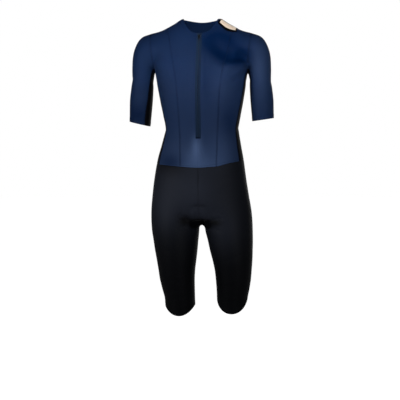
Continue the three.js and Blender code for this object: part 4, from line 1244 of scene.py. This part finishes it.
def frames_along(line: Points, pitch: float, aside: float, cut: float) -> tuple[Points, Points, Points]:
    """Places for stitches along a line on the form.

    Args:
        line: the line's points.
        pitch: the distance between stitches.
        aside: how far to one side of the line they lie.
        cut: the length that is left free at both ends.
    Returns:
        The stitches' middles on the form, unit vectors along the line, and unit vectors aside.
    """
    reach = spans(line, 0)
    count = max(int((reach[-1] - 2 * cut) / pitch), 2)
    goals = cut + (np.arange(count) + 0.5) * (reach[-1] - 2 * cut) / count
    middle = np.stack([np.interp(goals, reach, line[:, k]) for k in range(3)], axis=-1)
    way = unit(np.gradient(middle, axis=0))
    normal = FORM.normal(middle)
    beside = unit(np.cross(normal, way))
    return FORM.settle(middle + beside * aside, 3), way, beside


@dataclass(frozen=True)
class TopStitch:
    """One or more rows of plain stitches beside a line."""

    rows: tuple[float, ...]
    pitch: float = 3.0
    stitch: float = 2.3
    height: float = 0.15

    def sew(self, line: Points) -> tuple[Points, np.ndarray]:
        """Makes every row's beads along one line."""
        made = []
        for aside in self.rows:
            middle, way, _ = frames_along(line, self.pitch, aside, 2.0)
            seat = on_cloth(middle, np.full(len(middle), self.height))
            made.append(THREAD.beads(seat, way, FORM.normal(middle), self.stitch))
        return merged(made)


@dataclass(frozen=True)
class Flatlock:
    """A flat seam: two rows of stitches, and a thread laid slantwise over the seam at each stitch."""

    half_width: float = 2.3
    pitch: float = 3.0
    stitch: float = 2.3
    height: float = 0.12
    lean: float = 0.55

    def sew(self, line: Points) -> tuple[Points, np.ndarray]:
        """Makes the two rows and the threads across along one line."""
        made = []
        for aside in (-self.half_width, self.half_width):
            middle, way, _ = frames_along(line, self.pitch, aside, 2.5)
            seat = on_cloth(middle, np.full(len(middle), self.height))
            made.append(THREAD.beads(seat, way, FORM.normal(middle), self.stitch))
        middle, way, beside = frames_along(line, self.pitch, 0.0, 2.5)
        slant = unit(beside + way * self.lean)
        seat = on_cloth(middle, np.full(len(middle), -self.height))
        made.append(THREAD.beads(seat, slant, FORM.normal(middle), 2 * self.half_width * 1.05))
        return merged(made)


def merged(parts: list[tuple[Points, np.ndarray]]) -> tuple[Points, np.ndarray]:
    """Several meshes' vertices and faces as one mesh's."""
    starts = np.cumsum([0] + [len(points) for points, _ in parts])
    faces = [rows + start for (_, rows), start in zip(parts, starts)]
    return np.concatenate([points for points, _ in parts]), np.concatenate(faces)


@dataclass
class SuitTop:
    """The navy top with its black side panels and underarm strips, and its sewing."""

    navy: bpy.types.Material
    black: bpy.types.Material
    navy_thread: bpy.types.Material
    wall: ClothWall = ClothWall()
    cuff_row: float = 12.0
    waist_row: float = 5.0
    collar_row: float = 2.4
    collar_rows: int = 9

    def build(self) -> None:
        """Makes every panel of the top, the collar and the seams."""
        self.seams = {side.name: TopSeams(side) for side in SIDES}
        all_round = "bottom top start end"
        flat, plain = [], []
        for side in SIDES:
            s = self.seams[side.name]
            centre = patch(s.waist_centre, joined(s.collar_front, s.shoulder_inner), s.middle_front, s.princess)
            self.panel(f"front_center_{side.name}", centre, all_round, True)
            flank = patch(s.waist_side, s.shoulder_outer, s.princess, joined(s.front_edge, s.arm_front))
            self.panel(f"front_side_{side.name}", flank, all_round, True)
            under = patch(joined(s.flank_front, s.flank_back), s.armpit, s.front_edge, s.back_edge)
            self.panel(f"side_panel_{side.name}", under, all_round, False)
            round_arm = joined(s.arm_front, s.arm_back[::-1])
            sleeve = s.sleeve_grid(round_arm, side.cuff_panel_front, side.cuff_panel_back - 360)
            self.panel(f"sleeve_{side.name}", sleeve, "top start end hem", True)
            strip = s.sleeve_grid(s.armpit, side.cuff_panel_front, side.cuff_panel_back)
            self.panel(f"sleeve_underarm_{side.name}", strip, "top start end hem", False)
            flat += [s.princess, joined(s.shoulder_inner, s.shoulder_outer), s.front_edge, s.back_edge]
            flat += [joined(round_arm, s.armpit[::-1]), sleeve[:, 0], sleeve[:, -1]]
            plain.append((self.cuff_row, sleeve[0]))
            plain.append((self.cuff_row, strip[0]))
        self.build_back()
        self.build_collar()
        self.sew("flatlock_seams_top", [Flatlock().sew(line) for line in flat])
        self.build_rows()

    def panel(self, name: str, grid: Points, sewn: str, navy: bool) -> None:
        """Builds one panel in the navy or the black knit."""
        finish, slot = (self.navy, "navy_knit") if navy else (self.black, "black_knit")
        self.wall.build(name, grid, sewn, finish, slot)

    def sew(self, name: str, parts: list[tuple[Points, np.ndarray]]) -> None:
        """Makes one object of several runs of navy stitches."""
        new_object(name, *merged(parts), [self.navy_thread], "navy_knit")

    def build_back(self) -> None:
        """The back is one piece: its two halves share the middle line."""
        halves = []
        for side in SIDES:
            s = self.seams[side.name]
            top = joined(s.collar_back[::-1], s.shoulder_inner, s.shoulder_outer)
            halves.append(patch(s.waist_back[::-1], top, s.middle_back, joined(s.back_edge, s.arm_back)))
        right, left = halves
        whole = np.concatenate([right[:, ::-1], left[:, 1:]], axis=1)
        self.panel("back", whole, "bottom top start end", True)

    def neck_ring(self, drop: float) -> Points:
        """A whole line round the neck, from the zip round the back to the zip."""
        right, left = (
            joined(s.neck_line(s.front_angles, drop), s.neck_line(s.back_angles, drop)) for s in self.seams.values()
        )
        return joined(right, left[::-1])

    def build_collar(self) -> None:
        """The collar: a band whose foot is sewn to the top all round."""
        rows = [self.neck_ring(drop) for drop in np.linspace(1, 0, self.collar_rows)]
        self.panel("collar", np.stack(rows), "bottom", True)

    def build_rows(self) -> None:
        """Plain stitch rows: below the collar, above the waist seam, and round the cuffs."""
        rows = [TopStitch((-self.collar_row,)).sew(self.neck_ring(1))]
        for side in SIDES:
            s = self.seams[side.name]
            waist = joined(s.waist_centre, s.waist_side, s.flank_front, s.flank_back, s.waist_back)
            rows.append(TopStitch((side.sign * self.waist_row,)).sew(waist))
            outer, inner = s.sleeve_lines()
            share = 1 - self.cuff_row / np.linalg.norm(np.diff(outer, axis=0), axis=1).sum()
            ends = [np.array([np.interp(share, np.linspace(0, 1, len(line)), line[:, k]) for k in range(3)])
                    for line in (outer, inner)]
            ring = s.sleeve_point(ends[0], ends[1], np.linspace(0, 360, STRIPS.line))
            rows.append(TopStitch((-1.2, 1.2)).sew(ring))
        self.sew("stitch_rows_top", rows)


@dataclass
class SuitShorts:
    """The black legs, sewn to the top at the waist, with their seams and hems."""

    top: SuitTop
    black: bpy.types.Material
    black_thread: bpy.types.Material
    hem_row: float = 12.0

    def build(self) -> None:
        """Makes the four leg panels and their sewing."""
        flat, plain = [], []
        for side in SIDES:
            s = self.top.seams[side.name]
            leg = LegSeams(side, s)
            front = joined(s.waist_centre, s.waist_side, s.flank_front)[::-1]
            back = joined(s.flank_back, s.waist_back)
            for name, waist, is_front in (("front", front, True), ("back", back, False)):
                grid = leg.grid(waist, is_front)
                title = f"short_{name}_{side.name}"
                self.top.wall.build(title, grid, "top start end hem", self.black, "black_knit")
                if is_front:
                    flat.append(grid[:, 0])
                    flat.append(grid[: STRIPS.thigh, -1])
                if side is RIGHT:
                    flat.append(grid[STRIPS.thigh :, -1])
                plain.append(self.hem_line(grid))
        new_object("flatlock_seams_legs", *merged([Flatlock().sew(line) for line in flat]), [self.black_thread],
                   "black_knit")
        new_object("stitch_rows_legs", *merged([TopStitch((-1.2, 1.2)).sew(line) for line in plain]),
                   [self.black_thread], "black_knit")

    def hem_line(self, grid: Points) -> Points:
        """The line that runs at the hem row's distance above a panel's lower edge."""
        reach = spans(grid, 0)
        above = np.argmax(reach >= self.hem_row, axis=0)
        column = np.arange(grid.shape[1])
        low, high = reach[above - 1, column], reach[above, column]
        share = ((self.hem_row - low) / (high - low))[:, None]
        return mix(grid[above - 1, column], grid[above, column], share)


@dataclass
class FrontZip:
    """The zip: two woven tapes laid on the front edges, a nylon coil between them and a bar tack at its foot."""

    tape: bpy.types.Material
    coil: bpy.types.Material
    thread: bpy.types.Material
    seams: TopSeams
    foot_z: float = -378
    top_z: float = -20
    coil_top_z: float = -41
    half_width: float = 9
    gap: float = 0.5
    thickness: float = 0.7
    tooth_pitch: float = 1.5
    tooth_length: float = 2.3
    tack_half_width: float = 7.0

    def build(self) -> None:
        """Makes the tapes, the coil, the rows along the tapes and the bar tack."""
        for side in SIDES:
            self.build_tape(side)
        self.build_coil()
        self.build_sewing()

    def face(self, x: np.ndarray, z: np.ndarray) -> Points:
        """Points of the form in front of places across and heights."""
        x, z = np.broadcast_arrays(np.asarray(x, dtype=float), np.asarray(z, dtype=float))
        return FORM.leave(np.stack([x, 0 * x + FORM.ridge_y, z], axis=-1), [0, -1.0, 0])

    def build_tape(self, side: Side) -> None:
        """One tape: thin at its outer edge, with a low ridge along the coil."""
        rows = int((self.top_z - self.foot_z) / 3)
        z = np.linspace(self.foot_z, self.top_z, rows)[:, None]
        across = np.array([self.gap, 1.1, 2.2, 3.0, 5.0, 7.5, 8.6, self.half_width])
        rise = np.array([0.85, 1.45, 1.5, 0.95, 0.8, 0.8, 0.7, 0.45])
        grid = self.face(side.sign * across[None], z)
        height = np.broadcast_to(rise, grid.shape[:2])
        outer = on_cloth(grid, height)
        inner = on_cloth(grid, height - self.thickness)
        points, faces = wall_mesh(outer, inner)
        name = f"zip_tape_{side.name}"
        piece = new_object(f"{name}_woven", points, faces, [self.tape], "zip_tape")
        give_uv(piece, np.tile(cloth_uv(grid), (2, 1)))
        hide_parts(name)

    def build_coil(self) -> None:
        """The coil's turns: slanted beads, the left ones half a pitch above the right ones."""
        tooth = Thread(0.5)
        made = []
        for side in SIDES:
            shift = 0.25 * side.sign * self.tooth_pitch
            z = np.arange(self.foot_z + 4 + shift, self.coil_top_z, self.tooth_pitch)
            grid = self.face(np.full(len(z), side.sign * 0.45), z)
            normal = FORM.normal(grid)
            way = unit(np.array([side.sign * 1.0, 0, 0.12])[None] + 0 * normal)
            made.append(tooth.beads(on_cloth(grid, np.full(len(z), 1.15)), way, normal, self.tooth_length))
        new_object("zip_coil", *merged(made), [self.coil], "zip_tape")

    def build_sewing(self) -> None:
        """A stitch row along each tape and a close bar tack across the foot."""
        made = []
        for side in SIDES:
            z = np.linspace(self.foot_z + 3, self.top_z - 3, 120)
            line = self.face(np.full(len(z), side.sign * 7.0), z)
            middle, way, _ = frames_along(line, 3.0, 0.0, 1.0)
            made.append(THREAD.beads(on_cloth(middle, np.full(len(middle), 0.95)), way, FORM.normal(middle), 2.3))
        x = np.arange(-self.tack_half_width, self.tack_half_width + 0.1, 0.75)
        foot = self.face(x, np.full(len(x), self.foot_z + 1.0))
        up = np.tile([0, 0, 1.0], (len(x), 1))
        tack = Thread(0.42)
        made.append(tack.beads(on_cloth(foot, np.full(len(x), 1.35)), up, FORM.normal(foot), 5.0))
        new_object("zip_sewing", *merged(made), [self.thread], "zip_tape")


@dataclass
class ShoulderLabel:
    """A bare strip of bonded film over the left shoulder's ridge, pale with a dark border."""

    film: bpy.types.Material
    border: bpy.types.Material
    inner_front: tuple[float, float] = (60, -27)
    inner_back: tuple[float, float] = (70, 6)
    outer_front: tuple[float, float] = (125, -29)
    outer_back: tuple[float, float] = (127, 6)
    front_bow: float = 10
    start_z: float = -80
    height: float = 1.3
    thickness: float = 0.5
    border_shares: tuple[float, float] = (0.075, 0.19)
    steps: tuple[int, int] = (48, 18)

    def build(self) -> None:
        """Makes the strip: a grid over the ridge whose outer faces within the border are dark."""
        u, v = (np.linspace(0, 1, count + 1) for count in self.steps)
        margin_u, margin_v = self.border_shares
        u = np.sort(np.append(u, [margin_u, 1 - margin_u]))[None, :, None]
        v = np.sort(np.append(v, [margin_v, 1 - margin_v]))[:, None, None]
        front = mix(np.array(self.inner_front), np.array(self.outer_front), u)
        back = mix(np.array(self.inner_back), np.array(self.outer_back), u)
        place = mix(front, back, v)
        place[..., 1] -= self.front_bow * (4 * u * (1 - u) * (1 - v))[..., 0]
        start = np.concatenate([place, np.full(place.shape[:2] + (1,), self.start_z)], axis=-1)
        grid = FORM.leave(start, [0, 0, 1.0])
        outer = on_cloth(grid, np.full(grid.shape[:2], self.height))
        inner = on_cloth(grid, np.full(grid.shape[:2], self.height - self.thickness))
        points, faces = wall_mesh(outer, inner)
        piece = new_object("shoulder_label_film", points, faces, [self.film, self.border], "label")
        shares = np.stack(np.broadcast_arrays(u[..., 0], v[..., 0]), axis=-1).reshape(-1, 2)
        middle = np.tile(shares, (2, 1))[faces].mean(axis=1)
        margins = np.array([margin_u, margin_v])
        dark = ((middle < margins) | (middle > 1 - margins)).any(axis=1)
        piece.data.polygons.foreach_set("material_index", dark.astype(np.int32))
        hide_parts("shoulder_label")


@dataclass(frozen=True)
class SoftBox:
    """A square lamp with a grid, so that its light keeps to a soft-edged beam."""

    name: str
    place: tuple[float, float, float]
    aim: tuple[float, float, float]
    size: float
    spread: float
    power: float

    def hang(self) -> None:
        """Hangs the lamp in its place, turned towards its aim."""
        lamp = bpy.data.lights.new(self.name, "AREA")
        lamp.shape = "SQUARE"
        lamp.size = self.size * MM
        lamp.spread = math.radians(self.spread)
        lamp.energy = self.power
        holder = bpy.data.objects.new(self.name, lamp)
        holder.location = Vector(self.place) * MM
        way = Vector(self.aim) - Vector(self.place)
        holder.rotation_euler = way.to_track_quat("-Z", "Y").to_euler()
        bpy.context.collection.objects.link(holder)


LAMPS = (
    SoftBox("key", (-2400, -2300, -420), (-40, 0, -330), 1000, 34, 2.45),
    SoftBox("fill", (2000, -2600, -1400), (60, 0, -430), 900, 30, 2.7),
    SoftBox("neck", (0, -3300, 420), (0, 70, 30), 500, 7, 0.75),
    SoftBox("back_left", (-1100, 3400, 200), (0, 0, -500), 2000, 120, 9),
    SoftBox("back_right", (1200, 3400, -300), (0, 0, -500), 2000, 120, 7),
)


@dataclass
class Studio:
    """A pale floor in a pale room, soft light and the camera at the photograph's angle."""

    azimuth: float = 6.0
    distance: float = 4000.0
    camera_z: float = -322.0
    aim: tuple[float, float, float] = (-4.0, 0.0, -595.0)
    view_width: float = 1400.0
    floor_z: float = -1500.0
    floor_radius: float = 14000.0
    paper: Swatch = Swatch(0xF6F6F6)
    room_light: float = 0.17
    floor_glow: float = 0.85

    def build(self) -> None:
        """Makes the floor, the room, the lights and the camera."""
        self.build_floor()
        self.build_room()
        for lamp in LAMPS:
            lamp.hang()
        self.build_camera()

    def build_floor(self) -> None:
        """A round floor of pale paper: rings of points from the middle outwards."""
        turn = np.linspace(0, 2 * math.pi, 97)[None]
        reach = np.linspace(200.0, self.floor_radius, 12)[:, None]
        grid = np.stack(
            np.broadcast_arrays(reach * np.cos(turn), reach * np.sin(turn), np.full((1, 1), self.floor_z)), axis=-1
        )
        grid[0] = [0, 0, self.floor_z]
        material = PlainFinish("white studio paper", self.paper, self.paper, 0.9, 0.1, 40.0, 0.02).make()
        tree = material.node_tree
        seen = add_node(tree, "ShaderNodeLightPath", {}, {})
        glow = add_node(
            tree, "ShaderNodeMath", {"operation": "MULTIPLY", 1: self.floor_glow}, {0: seen.outputs["Is Camera Ray"]}
        )
        shader = tree.nodes["Principled BSDF"]
        shader.inputs["Emission Color"].default_value = (1, 1, 1, 1)
        tree.links.new(glow.outputs[0], shader.inputs["Emission Strength"])
        mesh = bpy.data.meshes.new("studio_floor")
        mesh.from_pydata(grid.reshape(-1, 3) * MM, [], grid_quads(*grid.shape[:2]))
        mesh.materials.append(material)
        floor = bpy.data.objects.new("studio_floor", mesh)
        bpy.context.collection.objects.link(floor)

    def build_room(self) -> None:
        """An even room: it looks white, and lights the suit more weakly than it looks."""
        world = bpy.data.worlds.new("pale room")
        world.use_nodes = True
        tree = world.node_tree
        back = tree.nodes["Background"]
        back.inputs["Color"].default_value = (1, 1, 1, 1)
        seen = add_node(tree, "ShaderNodeLightPath", {}, {})
        add_strength = add_node(
            tree, "ShaderNodeMapRange", {"To Min": self.room_light, "To Max": 1.0},
            {"Value": seen.outputs["Is Camera Ray"]},
        )
        tree.links.new(add_strength.outputs[0], back.inputs["Strength"])
        bpy.context.scene.world = world
        bpy.context.scene.view_settings.view_transform = "Standard"

    def build_camera(self) -> None:
        """The camera: its height is the photograph's eye level, and it looks slightly down at the aim."""
        turn = math.radians(self.azimuth)
        lens = bpy.data.cameras.new("camera")
        holder = bpy.data.objects.new("camera", lens)
        place = Vector((self.aim[0] + self.distance * math.sin(turn), -self.distance * math.cos(turn), self.camera_z))
        way = Vector(self.aim) - place
        holder.location = place * MM
        holder.rotation_euler = way.to_track_quat("-Z", "Y").to_euler()
        lens.sensor_width = 36.0
        lens.lens = lens.sensor_width * way.length / self.view_width
        lens.clip_end = 30
        bpy.context.collection.objects.link(holder)
        bpy.context.scene.camera = holder


def dress_frame_nodes(enamel: bpy.types.Material) -> None:
    """Gives the slider and the pull tab their enamel."""
    for name in ("zip_slider", "zip_pull_tab"):
        node = bpy.data.objects[name]
        node.data.materials.clear()
        node.data.materials.append(enamel)


def main() -> None:
    """Builds the suit piece by piece, then the studio."""
    logging.basicConfig(level=logging.INFO, format="%(message)s")
    navy, black = NAVY_KNIT.make(), BLACK_KNIT.make()
    navy_thread = NAVY_THREAD.make()
    top = SuitTop(navy, black, navy_thread)
    top.build()
    SuitShorts(top, black, BLACK_THREAD.make()).build()
    FrontZip(ZIP_WEAVE.make(), NYLON_COIL.make(), navy_thread, top.seams["left"]).build()
    ShoulderLabel(LABEL_FILM.make(), LABEL_EDGE.make()).build()
    dress_frame_nodes(ENAMELLED_ZINC.make())
    Studio().build()


if __name__ == "__main__":
    main()
